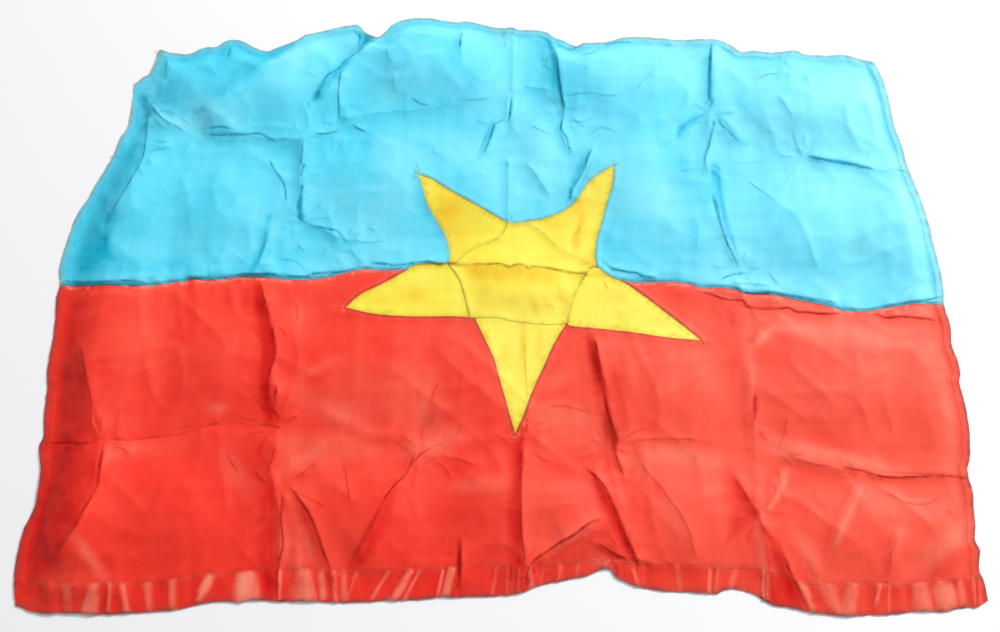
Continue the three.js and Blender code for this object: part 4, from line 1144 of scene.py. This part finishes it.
def point_loop(number):
    """The outline of one of the star's points, whose edges run under the panels and under the middle."""
    outer = joined(sides[2 * number][::-1], sides[2 * number - 1][::-1])
    return loop_of(*[(line, INSET + (LAP - INSET) * ease(taper(line, LAP_TAPER), 0, 1))
                     for line in (outer, middle_sides[number])])


def hem_rise(x, y, edges, near):
    """How much of a narrow hem, and of the wide near hem, is at each point."""
    narrow, wide = np.zeros(len(x)), np.zeros(len(x))
    for edge, width in edges:
        d = nearest(x, y, [edge], width + 4)
        narrow = np.maximum(narrow, 1 - ease(d, width + HEM_STEP[0], width + HEM_STEP[1]))
    if near:
        which, left, _, _ = beside(x, y, hem_line, NEAR_HEM_REACH)
        wide[which] = ease(-left, -HEM_STEP[1], -HEM_STEP[0])
    return narrow, wide


def hem_puckers(x, y):
    """How much of the near hem's puckers is at each point, which raises them and carries their painted highlight."""
    out = np.zeros(len(x))
    down = np.clip((np.interp(x, *hem_line.T) - y) / NEAR_HEM_WIDTH, -0.2, 1.2)
    for top, foot, width, strength in HEM_PUCKERS:
        across = x - top - (foot - top) * down + width * ripples(x + 3 * top, y, HEM_PUCKER_SWAY)
        flare = HEM_PUCKER_FLARE * down * (1 if int(top) % 2 else -1)
        broad = width * (HEM_PUCKER_BASE + flare + ripples(x, y + top, HEM_PUCKER_BREADTH))
        out = np.maximum(out, strength * np.exp(-(across / np.maximum(broad, HEM_PUCKER_LEAST)) ** 4))
    return out * ease(down, -0.04, 0.06)


PIECE_HEMS = {
    "blue_panel": ([(far_edge, FAR_HEM), (left_upper, SIDE_HEM), (right_upper, SIDE_HEM)], False),
    "red_panel": ([(left_lower, SIDE_HEM), (right_lower, SIDE_HEM)], True),
}
PIECE_LAPS = {
    "blue_panel": [star_line, *panel_seams],
    "red_panel": [star_line],
    "star_center": middle_sides,
}


def surface(piece, x, y):
    """The height of a piece's underside, and the marks that its material reads."""
    lie, crease = relief(x, y)
    star_away = nearest(x, y, [star_line], MARK_REACH)
    marks = {mark: np.zeros(len(x)) for mark in ("hem", "seam", "painted_seam_shading", "painted_sheen_and_ochre")}
    marks["crease"] = crease
    marks["rim"] = RIM_SHARE * bell(star_away, RIM_WIDTH)
    # Painted highlight on the turned edge outside the star, and a deeper line on the star itself
    marks["painted_edge_line"] = bell(star_away - HALO_AWAY, HALO_WIDTH)
    if piece in PIECE_HEMS:
        edges, near = PIECE_HEMS[piece]
        narrow, wide = hem_rise(x, y, edges, near)
        lie += HEM_RISE * np.maximum(narrow, wide)
        lie += wide * ripples(x, y, NEAR_HEM_WAVES) + narrow * ripples(x, y, SIDE_HEM_WAVES)
        marks["hem"] = wide + 0.5 * narrow
        for edge, width in edges:
            at_stitches = nearest(x, y, [edge], width + 6) - width
            share = FAR_HEM_LINE if width < SIDE_HEM else SIDE_HEM_LINE
            marks["crease"] = np.maximum(marks["crease"], share * bell(at_stitches, STITCH_LINE_WIDTH))
        # Painted shade along the blue side of the panels' seam, and a painted highlight along the red side
        marks["painted_seam_shading"] = bell(nearest(x, y, panel_seams, MARK_REACH) - LIP_AWAY, LIP_WIDTH)
    if piece == "red_panel":
        # Painted highlight: the hem's puckers and the sheen patches on the red cloth
        painted_sheen_and_ochre = hem_puckers(x, y) * wide
        lie += HEM_PUCKER_RISE * painted_sheen_and_ochre
        for place in PAINTED_SHEEN:
            near, part = patch(x, y, place)
            painted_sheen_and_ochre[near] = np.maximum(painted_sheen_and_ochre[near], part)
        marks["painted_sheen_and_ochre"] = painted_sheen_and_ochre
        at_line = HEM_LINE_SHARE * bell(nearest(x, y, [hem_line], HEM_LINE_REACH), HEM_LINE_WIDTH)
        marks["rim"] = np.maximum(marks["rim"], at_line)
    if piece.startswith("star"):
        for line, share in zip(middle_sides, INNER_SEAM_SHARES):
            dark = share * bell(nearest(x, y, [line], INNER_SEAM_REACH), STITCH_LINE_WIDTH)
            marks["rim"] = np.maximum(marks["rim"], dark)
        # Ochre browning, and painted shade below the star's main crease
        for *place, strength in OCHRE_AND_PAINTED_SHADE:
            marks["painted_sheen_and_ochre"] = np.maximum(marks["painted_sheen_and_ochre"], OCHRE_SHARE * strength * spot(x, y, *place))
    if piece in PIECE_LAPS:
        d = nearest(x, y, PIECE_LAPS[piece], LAP_REACH)
        lie += LAP_RISE * (1 - ease(d, LAP + LAP_STEP[0], LAP + LAP_STEP[1]))
        marks["seam"] = 1 - ease(d, *SEAM_DIRT)
    # The sewn edges pull the cloth into short puckers across them
    which, left, at, _ = beside(x, y, star_line, STAR_PUCKER_REACH)
    lie[which] += ripples(at, left, STAR_PUCKERS) * bell(left, STAR_PUCKER_WIDTH)
    return np.maximum(lie, 0) + UNDERSIDE_RISE, marks


def rows_beside(lines, offsets):
    """Rows of points beside lines, a crease step apart."""
    return [spread(spaced(line, CREASE_STEP), by) for line in lines for by in offsets]


def tree_of(points):
    tree = kdtree.KDTree(len(points))
    for i, (px, py) in enumerate(points):
        tree.insert((px, py, 0), i)
    tree.balance()
    return tree


def net_points(loop, guides, near_hem):
    """The points of a piece's net: along the creases first, and a staggered field between them."""
    low, high = loop.min(axis=0), loop.max(axis=0)
    rim = tree_of(spaced(closed(loop), RIM_STEP).tolist())
    rows = rows_beside(guides, (0,))
    for px, py, length, width, turn, _ in DIMPLES:
        half = DIMPLE_REACH * length * np.array(heading(turn))
        axis = spaced(np.array([(px, py) - half, (px, py) + half]), CREASE_STEP)
        rows += rows_beside([axis], [share * width for share in DIMPLE_ROWS])
    if near_hem:
        for top, foot, width, _ in HEM_PUCKERS:
            at = np.interp(top, *hem_line.T)
            axis = spaced(np.array([(top, at - 1), (foot, at - NEAR_HEM_WIDTH)]), CREASE_STEP)
            rows += rows_beside([axis], (0, width - 0.7, 0.7 - width, width + 0.9, -width - 0.9))
    rows += rows_beside([crease[-1] for crease in creases], CREASE_ROWS)
    kept, cells = [], {}
    for px, py in np.vstack(rows).tolist():
        if not (low[0] < px < high[0] and low[1] < py < high[1]):
            continue
        i, j = int(px // CREASE_CLEARANCE), int(py // CREASE_CLEARANCE)
        close = [p for a in (-1, 0, 1) for b in (-1, 0, 1) for p in cells.get((i + a, j + b), ())]
        if any((px - qx) ** 2 + (py - qy) ** 2 < CREASE_CLEARANCE ** 2 for qx, qy in close):
            continue
        if rim.find((px, py, 0))[2] < EDGE_CLEARANCE:
            continue
        cells.setdefault((i, j), []).append((px, py))
        kept.append((px, py))
    taken = tree_of(kept)
    for j, py in enumerate(np.arange(low[1], high[1], OPEN_STEP * math.sqrt(3) / 2).tolist()):
        for px in np.arange(low[0] + (j % 2) * OPEN_STEP / 2, high[0], OPEN_STEP).tolist():
            if taken.find((px, py, 0))[2] > OPEN_CLEARANCE and rim.find((px, py, 0))[2] > EDGE_CLEARANCE:
                kept.append((px, py))
    return kept


def triangles(name, loop, points):
    """The net over an outline: its points, and its triangles as seen from above."""
    plan = [Vector(p) for p in loop.tolist() + points]
    found = delaunay_2d_cdt(plan, [], [list(range(len(loop)))], 0, 1e-6, False)
    xy, top = np.array([(v.x, v.y) for v in found[0]]), np.array(found[2])
    if len(xy) != len(plan):
        raise ValueError(name + ": its outline crosses itself")
    top = top[inside(loop, xy[top].mean(axis=1))]
    a, b, c = (xy[top[:, i]] for i in range(3))
    area_sign = (b[:, 0] - a[:, 0]) * (c[:, 1] - a[:, 1]) - (b[:, 1] - a[:, 1]) * (c[:, 0] - a[:, 0])
    top[area_sign < 0] = top[area_sign < 0][:, ::-1]
    return xy, top


def hollows(under, top):
    """Hollows (above 0) and crests (below 0), from each point's height against its neighbours'."""
    edges = np.vstack([top[:, pair] for pair in ([0, 1], [1, 2], [2, 0], [1, 0], [2, 1], [0, 2])])
    links = np.bincount(edges[:, 0], minlength=len(under))
    bend = under
    for _ in range(2):
        bend = np.bincount(edges[:, 0], bend[edges[:, 1]], len(under)) / np.maximum(links, 1)
    return np.clip((bend - under) / HOLLOW_DEPTH, -1, 1)


def facing_light(place, top):
    """The slope towards the light at each point, from the mean normal of the faces around it."""
    a, b, c = (place[top[:, i]] for i in range(3))
    across = np.cross(b - a, c - a)
    normal = np.zeros(place.shape)
    for i in range(3):
        np.add.at(normal, top[:, i], across)
    return normal[:, :2] @ LIGHT_PLAN / np.maximum(normal[:, 2], 1e-6)


def mesh_of(name, verts, faces, material):
    mesh = bpy.data.meshes.new(name)
    mesh.from_pydata(verts, [], faces)
    mesh.update()
    mesh.materials.append(material)
    return mesh


def shown(name, data):
    """A new object in the scene."""
    piece = bpy.data.objects.new(name, data)
    bpy.context.scene.collection.objects.link(piece)
    return piece


def cloth(name, loop, guides, material):
    """One piece of cloth as a closed thin mesh over its relief."""
    points = net_points(loop, guides, name == "red_panel")
    xy, top = triangles(name, loop, [p for p, ok in zip(points, inside(loop, points)) if ok])
    under, marks = surface(name, *xy.T)
    place = np.column_stack([xy - PLAN_MIDDLE, under])
    verts = np.vstack([place + (0, 0, CLOTH_THICKNESS), place]) * MM
    count = len(xy)
    rim = np.arange(len(loop))
    after = np.roll(rim, -1)
    faces = top.tolist() + (top[:, ::-1] + count).tolist()
    faces += np.column_stack([rim, rim + count, after + count, after]).tolist()
    mesh = mesh_of(name, verts.tolist(), faces, material)
    # Painted shade and light: colour deepens on slopes turned from the light and pales on slopes turned to it,
    # together with the painted tones of the flat parts between folds
    facing = facing_light(place, top)
    tone = painted_facet_shading(*xy.T) + np.where(facing < 0, PAINTED_SHADE_PER_SLOPE, PAINTED_LIGHT_PER_SLOPE) * facing
    marks["away"], marks["towards"] = np.clip(-tone, 0, 1), np.clip(tone, 0, 1)
    # Painted shade: colour is deepened in the hollows; the crests are paler
    marks["hollow"] = hollows(under, top)
    marks["outer"] = np.exp(-nearest(*xy.T, outer_edges, WORN_EDGE_REACH) / WORN_EDGE_WIDTH)
    marks["stain"] = np.clip(sum(strength * spot(*xy.T, *where) for *where, strength in STAINS), 0, 1)
    for mark, values in marks.items():
        layer = mesh.attributes.new(mark, "FLOAT", "POINT")
        layer.data.foreach_set("value", np.tile(values, 2))
    mesh.shade_smooth()
    mesh.set_sharp_from_angle(angle=math.radians(SHARP_ANGLE))
    piece = shown("cloth_" + name, mesh)
    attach(piece, "root")
    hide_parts(name)
    return piece


class Finish:
    """A procedural material, built node by node."""

    def __init__(self, name):
        self.material = bpy.data.materials.new(name)
        self.material.use_nodes = True
        self.tree = self.material.node_tree
        self.place = self.node("TexCoord", "Object", {})

    def link(self, value, socket):
        if isinstance(value, bpy.types.NodeSocket):
            self.tree.links.new(value, socket)
        else:
            socket.default_value = value

    def node(self, kind, output, inputs, **settings):
        """One output of a new node whose inputs are linked or set."""
        node = self.tree.nodes.new("ShaderNode" + kind)
        for setting, value in settings.items():
            setattr(node, setting, value)
        for socket, value in inputs.items():
            self.link(value, node.inputs[socket])
        return node.outputs[output]

    def mark(self, name):
        return self.node("Attribute", "Fac", {}, attribute_name=name)

    def noise(self, stretch, detail=3.0, rough=0.55, offset=(0, 0, 0)):
        """Noise from 0 to 1, with so many waves per metre along X, Y and Z."""
        where = self.node("Mapping", "Vector", {"Vector": self.place, "Scale": stretch, "Location": offset})
        return self.node("TexNoise", "Fac", {"Vector": where, "Scale": 1, "Detail": detail, "Roughness": rough})

    def bands(self, direction, per_metre):
        inputs = {"Vector": self.place, "Scale": per_metre * WAVE_UNIT, "Distortion": 0.6, "Detail": 1,
                  "Detail Scale": 0.4}
        return self.node("TexWave", "Fac", inputs, bands_direction=direction)

    def spread_of(self, value, low, high, to_low=0.0, to_high=1.0):
        inputs = {"Value": value, "From Min": low, "From Max": high, "To Min": to_low, "To Max": to_high}
        return self.node("MapRange", "Result", inputs)

    def math(self, kind, first, second):
        return self.node("Math", 0, {0: first, 1: second}, operation=kind)

    def marked(self, name, value, *spread):
        """A mark that is uneven, as the spread of a value."""
        return self.math("MULTIPLY", self.mark(name), self.spread_of(value, *spread))

    def mix(self, factor, first, second, blend="MIX"):
        return self.node("Mix", 2, {"Factor": factor, 6: first, 7: second}, data_type="RGBA", blend_type=blend)

    def bump(self, height, depth, strength=1.0, **under):
        return self.node("Bump", "Normal", {"Strength": strength, "Distance": depth, "Height": height, **under})

    def made(self, inputs):
        """The material, once the inputs of its shader are linked or set."""
        shader = self.tree.nodes["Principled BSDF"]
        for socket, value in inputs.items():
            self.link(value, shader.inputs[socket])
        return self.material


def rgb(red, green, blue):
    """A colour as seen, from 0 to 255, for a shader socket."""
    parts = [v / 255 for v in (red, green, blue)]
    return (*[v / 12.92 if v <= 0.04045 else ((v + 0.055) / 1.055) ** 2.4 for v in parts], 1)


def silk(name, colours):
    """Thin silky plain weave with slubs, paler crests, dirty edges and seams, and stains; its colour also holds
    painted shade in hollows, creases and on slopes turned from the light, and painted light and sheen.
    """
    f = Finish(name)
    cloudy = f.noise((26, 22, 26), 3, offset=(3, 1, 0))
    mottle = f.noise((85, 60, 85), 4, offset=(7, 5, 0))
    blotch = f.noise((120, 140, 120), 4, offset=(4, 4, 0))
    patches = f.noise((70, 55, 70), 4, offset=(2, 6, 0))
    streaks = f.noise((60, 14, 1), 4, offset=(4, 1, 0))
    crinkle = f.noise((210, 190, 190), 4, 0.5, offset=(6, 1, 0))
    # Painted light: the broad fade is pushed paler towards +X, the side where the lamps stand
    across = f.node("SeparateXYZ", "X", {0: f.place})
    fade = f.math("ADD", f.noise((7, 9, 7), 4), f.spread_of(across, -0.42, 0.42, -0.19, 0.19))
    slubs = f.math("ADD", *[f.noise(stretch, 2, offset=shift) for stretch, shift in (
        ((9, 620, 1), (5, 2, 0)), ((620, 9, 1), (1, 7, 0)))])
    long_slubs = f.math("ADD", *[f.noise(stretch, 2, offset=shift) for stretch, shift in (
        ((3, 150, 1), (8, 3, 0)), ((150, 3, 1), (2, 9, 0)))])
    yarn = f.math("ADD", slubs, long_slubs)
    tone = f.spread_of(yarn, 1.5, 2.5, 0.955, 1.03)
    grey = f.node("CombineColor", "Color", {"Red": tone, "Green": tone, "Blue": tone})
    hem, hollow = f.mark("hem"), f.mark("hollow")

    def tinted(colour, *steps):
        for factor, part in steps:
            colour = f.mix(factor, colour, rgb(*colours[part]))
        return colour

    colour = tinted(
        rgb(*colours["body"]),
        # painted light: paler towards the lamps' side, over a random fade
        (f.spread_of(fade, 0.35, 0.7, 0, 0.7), "pale"),
        (f.spread_of(cloudy, 0.5, 0.75, 0, 0.22), "deep"),
        (f.spread_of(mottle, 0.55, 0.75, 0, 0.16), "pale"),
        (f.spread_of(mottle, 0.45, 0.25, 0, 0.14), "deep"),
        (f.spread_of(hem, 0.5, 1, 0, 0.4), "deep"),
        # painted sheen on the red cloth; ochre and painted shade on the star
        (f.marked("painted_sheen_and_ochre", streaks, 0.3, 0.65, 0.35, 1.0), "painted_sheen_and_ochre"),
        # painted shade in the hollows, then paler crests
        (f.spread_of(hollow, 0.1, 0.9, 0, 0.5), "deep"),
        (f.spread_of(hollow, -0.1, -0.8, 0, 0.3), "pale"))
    edge_dirt = f.marked("outer", blotch, 0.3, 0.62, 0.15, 1.0)
    seam_dirt = f.marked("seam", blotch, 0.4, 0.7, 0.0, 0.35)
    folded = f.spread_of(f.mark("crease"), 0.08, 1.0, 0, 0.9)
    colour = tinted(
        f.mix(1.0, colour, grey, "MULTIPLY"),
        # painted shade on slopes turned from the light, and painted light on slopes turned to it
        (f.marked("away", patches, 0.32, 0.6, 0.6, 1.0), "painted_shade"),
        (f.marked("towards", patches, 0.32, 0.6, 0.6, 1.0), "painted_light"),
        # painted highlight outside the star
        (f.marked("painted_edge_line", blotch, 0.3, 0.62, 0.35, 0.9), "painted_edge_line"),
        # painted shade and highlight along the panels' seam
        (f.marked("painted_seam_shading", blotch, 0.35, 0.6, 0.45, 0.95), "painted_seam_shading"),
        (f.marked("rim", blotch, 0.3, 0.62, 0.55, 0.95), "rim"),
        (f.math("MAXIMUM", edge_dirt, seam_dirt), "grime"),
        (f.marked("stain", cloudy, 0.3, 0.6, 0.4, 1.0), "stained"),
        # painted shade in creases and dimples, and the dark hem stitch lines
        (f.math("MULTIPLY", folded, f.spread_of(blotch, 0.3, 0.62, 0.35, 1.0)), "dark"))
    rough = f.math("ADD", f.spread_of(hem, 0, 1, 0.44, 0.34), f.spread_of(cloudy, 0.3, 0.7, -0.04, 0.05))
    weave = f.math("ADD", f.bands("X", THREADS_PER_METRE), f.bands("Y", THREADS_PER_METRE))
    normal = f.bump(crinkle, 0.00025, 0.5)
    normal = f.bump(yarn, 0.00006, 0.5, Normal=normal)
    normal = f.bump(weave, 0.00004, 0.5, Normal=normal)
    return f.made({"Base Color": colour, "Roughness": rough, "Specular IOR Level": 0.2, "Sheen Weight": 0.03,
                   "Sheen Roughness": 0.4, "Normal": normal})


def thread_finish(name, body, pale):
    f = Finish(name)
    twist = f.noise((1500, 1500, 1500), 2)
    colour = f.mix(f.spread_of(f.noise((30, 30, 30), 2), 0.3, 0.7), rgb(*body), rgb(*pale))
    colour = f.mix(f.spread_of(twist, 0.3, 0.7, 0, 0.4), colour, rgb(*THREAD_DIRT))
    return f.made({"Base Color": colour, "Roughness": 0.7, "Normal": f.bump(twist, 0.0002, 0.6)})


def floor_finish():
    f = Finish("pale_floor")
    soft = f.spread_of(f.noise((3, 3, 3), 2), 0.3, 0.7, 0, 0.05)
    return f.made({"Base Color": f.mix(soft, rgb(*FLOOR_PALE), rgb(*FLOOR_GREY)), "Roughness": 0.9})


silks = {name: silk(name, colours) for name, colours in PALETTES.items()}
thread_finishes = {name: thread_finish(name, *colours) for name, colours in THREADS.items()}


def lap_guides(lines):
    """Rows of points beside sewn edges, on both sides of the step that a lap makes."""
    return [spread(line, by) for line in lines for by in LAP_ROWS]


hem_guides = [spread(edge, by) for edge, by in (
    (far_edge, FAR_HEM - 0.7), (far_edge, FAR_HEM + 1.1), (right_edge, -SIDE_HEM + 0.7),
    (right_edge, -SIDE_HEM - 1.1), (left_edge, SIDE_HEM - 0.7), (left_edge, SIDE_HEM + 1.1),
    (hem_line, -0.7), (hem_line, 1.0))]
panels = {
    "blue": cloth("blue_panel", blue_loop, lap_guides([star_line, *panel_seams]) + hem_guides,
                  silks["blue_silk"]),
    "red": cloth("red_panel", red_loop, lap_guides([star_line]) + hem_guides, silks["red_silk"]),
}
middle = cloth("star_center", middle_loop, lap_guides(middle_sides), silks["yellow_silk"])
points = [cloth(point, point_loop(number), lap_guides([middle_sides[number]]), silks["yellow_silk"])
          for number, point in enumerate(STAR_POINTS)]


def threads(name, spots, height, finish):
    """Many threads with as many points each, as one mesh. Their spots are threads x points x 2, in the plan."""
    paths = np.dstack([spots - PLAN_MIDDLE, height.reshape(spots.shape[:2])])
    run = np.gradient(paths, axis=1)
    run /= np.linalg.norm(run, axis=2, keepdims=True)
    side = np.cross(run, (0, 0, 1.0))
    side /= np.maximum(np.linalg.norm(side, axis=2, keepdims=True), 1e-6)
    up = np.cross(side, run)
    turn = np.linspace(0, 2 * math.pi, THREAD_SIDES, endpoint=False)[:, None]
    ring = side[:, :, None] * np.cos(turn) + up[:, :, None] * np.sin(turn)
    verts = (paths[:, :, None] + THREAD_RADIUS * ring).reshape(-1, 3)
    index = np.arange(len(verts)).reshape(*paths.shape[:2], THREAD_SIDES)
    a, b = index[:, :-1], index[:, 1:]
    quads = np.stack([a, b, np.roll(b, -1, axis=2), np.roll(a, -1, axis=2)], axis=-1).reshape(-1, 4)
    faces = quads.tolist() + index[:, 0].tolist() + index[:, -1, ::-1].tolist()
    mesh = mesh_of(name, (verts * MM).tolist(), faces, thread_finishes[finish])
    mesh.shade_smooth()
    piece = shown(name, mesh)
    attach(piece, "root")
    return piece


def stitches(name, on, lines, finish):
    """Rows of machine stitches on a piece of cloth, along lines in the plan."""
    spots = []
    for line in lines:
        s = along(line)
        middles = np.arange(STITCH_SPACING, s[-1] - STITCH_SPACING, STITCH_SPACING)
        at = middles[:, None] + STITCH * np.array([-0.5, -0.25, 0.25, 0.5])
        spots.append(np.stack([np.interp(at, s, line[:, 0]), np.interp(at, s, line[:, 1])], axis=-1))
    spots = np.vstack(spots)
    under, _ = surface(on, *spots.reshape(-1, 2).T)
    rise = np.tile([-THREAD_RADIUS, STITCH_RISE, STITCH_RISE, -THREAD_RADIUS], len(spots))
    return threads(name, spots, under + CLOTH_THICKNESS + rise, finish)


def loose_threads(name, on, places, finish, seed):
    """Frayed threads that curl away from worn places: X, Y, direction, how many, and length."""
    chance = np.random.default_rng(seed)
    paths = []
    for px, py, turn, count, length in places:
        for _ in range(count):
            angle = math.radians(turn + chance.normal(0, FRAY_SPREAD))
            curl = chance.normal(0, FRAY_CURL)
            step = length * chance.uniform(*FRAY_LENGTH) / FRAY_STEPS
            at = [(px + chance.normal(0, FRAY_START), py + chance.normal(0, FRAY_START))]
            for _ in range(FRAY_STEPS):
                angle += curl + chance.normal(0, FRAY_WAVER)
                at.append((at[-1][0] + step * math.cos(angle), at[-1][1] + step * math.sin(angle)))
            paths.append(at)
    spots = np.array(paths)
    flat = spots.reshape(-1, 2)
    under, _ = surface(on, *flat.T)
    loop = {"blue_panel": blue_loop, "red_panel": red_loop}[on]
    lies_on = inside(loop, flat) | (nearest(*flat.T, outer_edges, FRAY_REACH) >= FRAY_REACH)
    arch = FRAY_ARCH * np.sin(np.tile(np.linspace(0, math.pi, FRAY_STEPS + 1), len(paths)))
    height = np.where(lies_on, under + CLOTH_THICKNESS, UNDERSIDE_RISE) + THREAD_RADIUS + arch
    return threads(name, spots, height, finish)


trims = {
    "blue": [
        stitches("blue_hem_stitches", "blue_panel",
                 [spread(far_edge, FAR_HEM - STITCH_INSET)[4:-4], spread(left_upper, SIDE_HEM - STITCH_INSET)[1:-5],
                  spread(right_upper, -SIDE_HEM + STITCH_INSET)[1:-5]], "blue_thread"),
        stitches("blue_star_stitches", "blue_panel",
                 [spread(line, -TOPSTITCH_AWAY)[1:-1] for line in (sides[9], *sides[:3])],
                 "olive_thread"),
        loose_threads("blue_frays", "blue_panel",
                      [(-349, 276, 120, 4, 5), (-369, 238, 170, 3, 5), (-383, 157, 160, 3, 5), (374, 264, 40, 3, 5),
                       (10, 303, 80, 2, 4), (-82, 139, 125, 4, 12), (5, 90, 95, 3, 6), (8, 90, 70, 2, 5),
                       (111, 147, 50, 2, 4)], "pale_thread", 5),
    ],
    "red": [
        stitches("red_hem_stitches", "red_panel",
                 [spread(hem_line, STITCH_INSET)[6:-6], spread(left_lower, SIDE_HEM - STITCH_INSET)[5:-2],
                  spread(right_lower, -SIDE_HEM + STITCH_INSET)[5:-2]], "red_thread"),
        stitches("red_star_stitches", "red_panel",
                 [spread(line, -TOPSTITCH_AWAY)[1:-1] for line in (right_arm_red, *sides[4:8], left_arm_red)],
                 "brown_thread"),
        stitches("seam_stitches", "red_panel",
                 [spread(line, TOPSTITCH_AWAY)[2:-2] for line in panel_seams], "pale_red_thread"),
        loose_threads("red_frays", "red_panel",
                      [(12.3, -122, 270, 3, 6), (187, -32, 340, 3, 6), (330, -247, 20, 2, 6)], "red_thread",
                      6),
    ],
}

half = FLOOR_HALF
corners = [(-half, -half, 0), (half, -half, 0), (half, half, 0), (-half, half, 0)]
floor = shown("floor", mesh_of("floor", corners, [(0, 1, 2, 3)], floor_finish()))

camera = shown("camera", bpy.data.cameras.new("camera"))
camera.location = [(v - m) * MM for v, m in zip(CAMERA_PLAN, (*PLAN_MIDDLE, 0))]
camera.rotation_euler = (math.radians(CAMERA_PITCH), 0, 0)
camera.data.lens = CAMERA_LENS
camera.data.sensor_width = CAMERA_SENSOR
bpy.context.scene.camera = camera


def lamp(name, place, size, power):
    """A soft square lamp that faces the middle of the cloth."""
    light = bpy.data.lights.new(name, "AREA")
    light.size = size
    light.energy = power
    holder = shown(name, light)
    holder.location = place
    holder.rotation_euler = (-Vector(place)).to_track_quat("-Z", "Y").to_euler()


lamp("key", (3.3, 2.85, 2.4), 0.75, 212)
lamp("window", (1.6, 1.8, 2.6), 1.9, 44)
world = bpy.data.worlds.new("soft_room")
world.use_nodes = True
world.node_tree.nodes["Background"].inputs["Color"].default_value = (1, 1, 1, 1)
world.node_tree.nodes["Background"].inputs["Strength"].default_value = DAYLIGHT
bpy.context.scene.world = world
bpy.context.scene.view_settings.view_transform = "Standard"
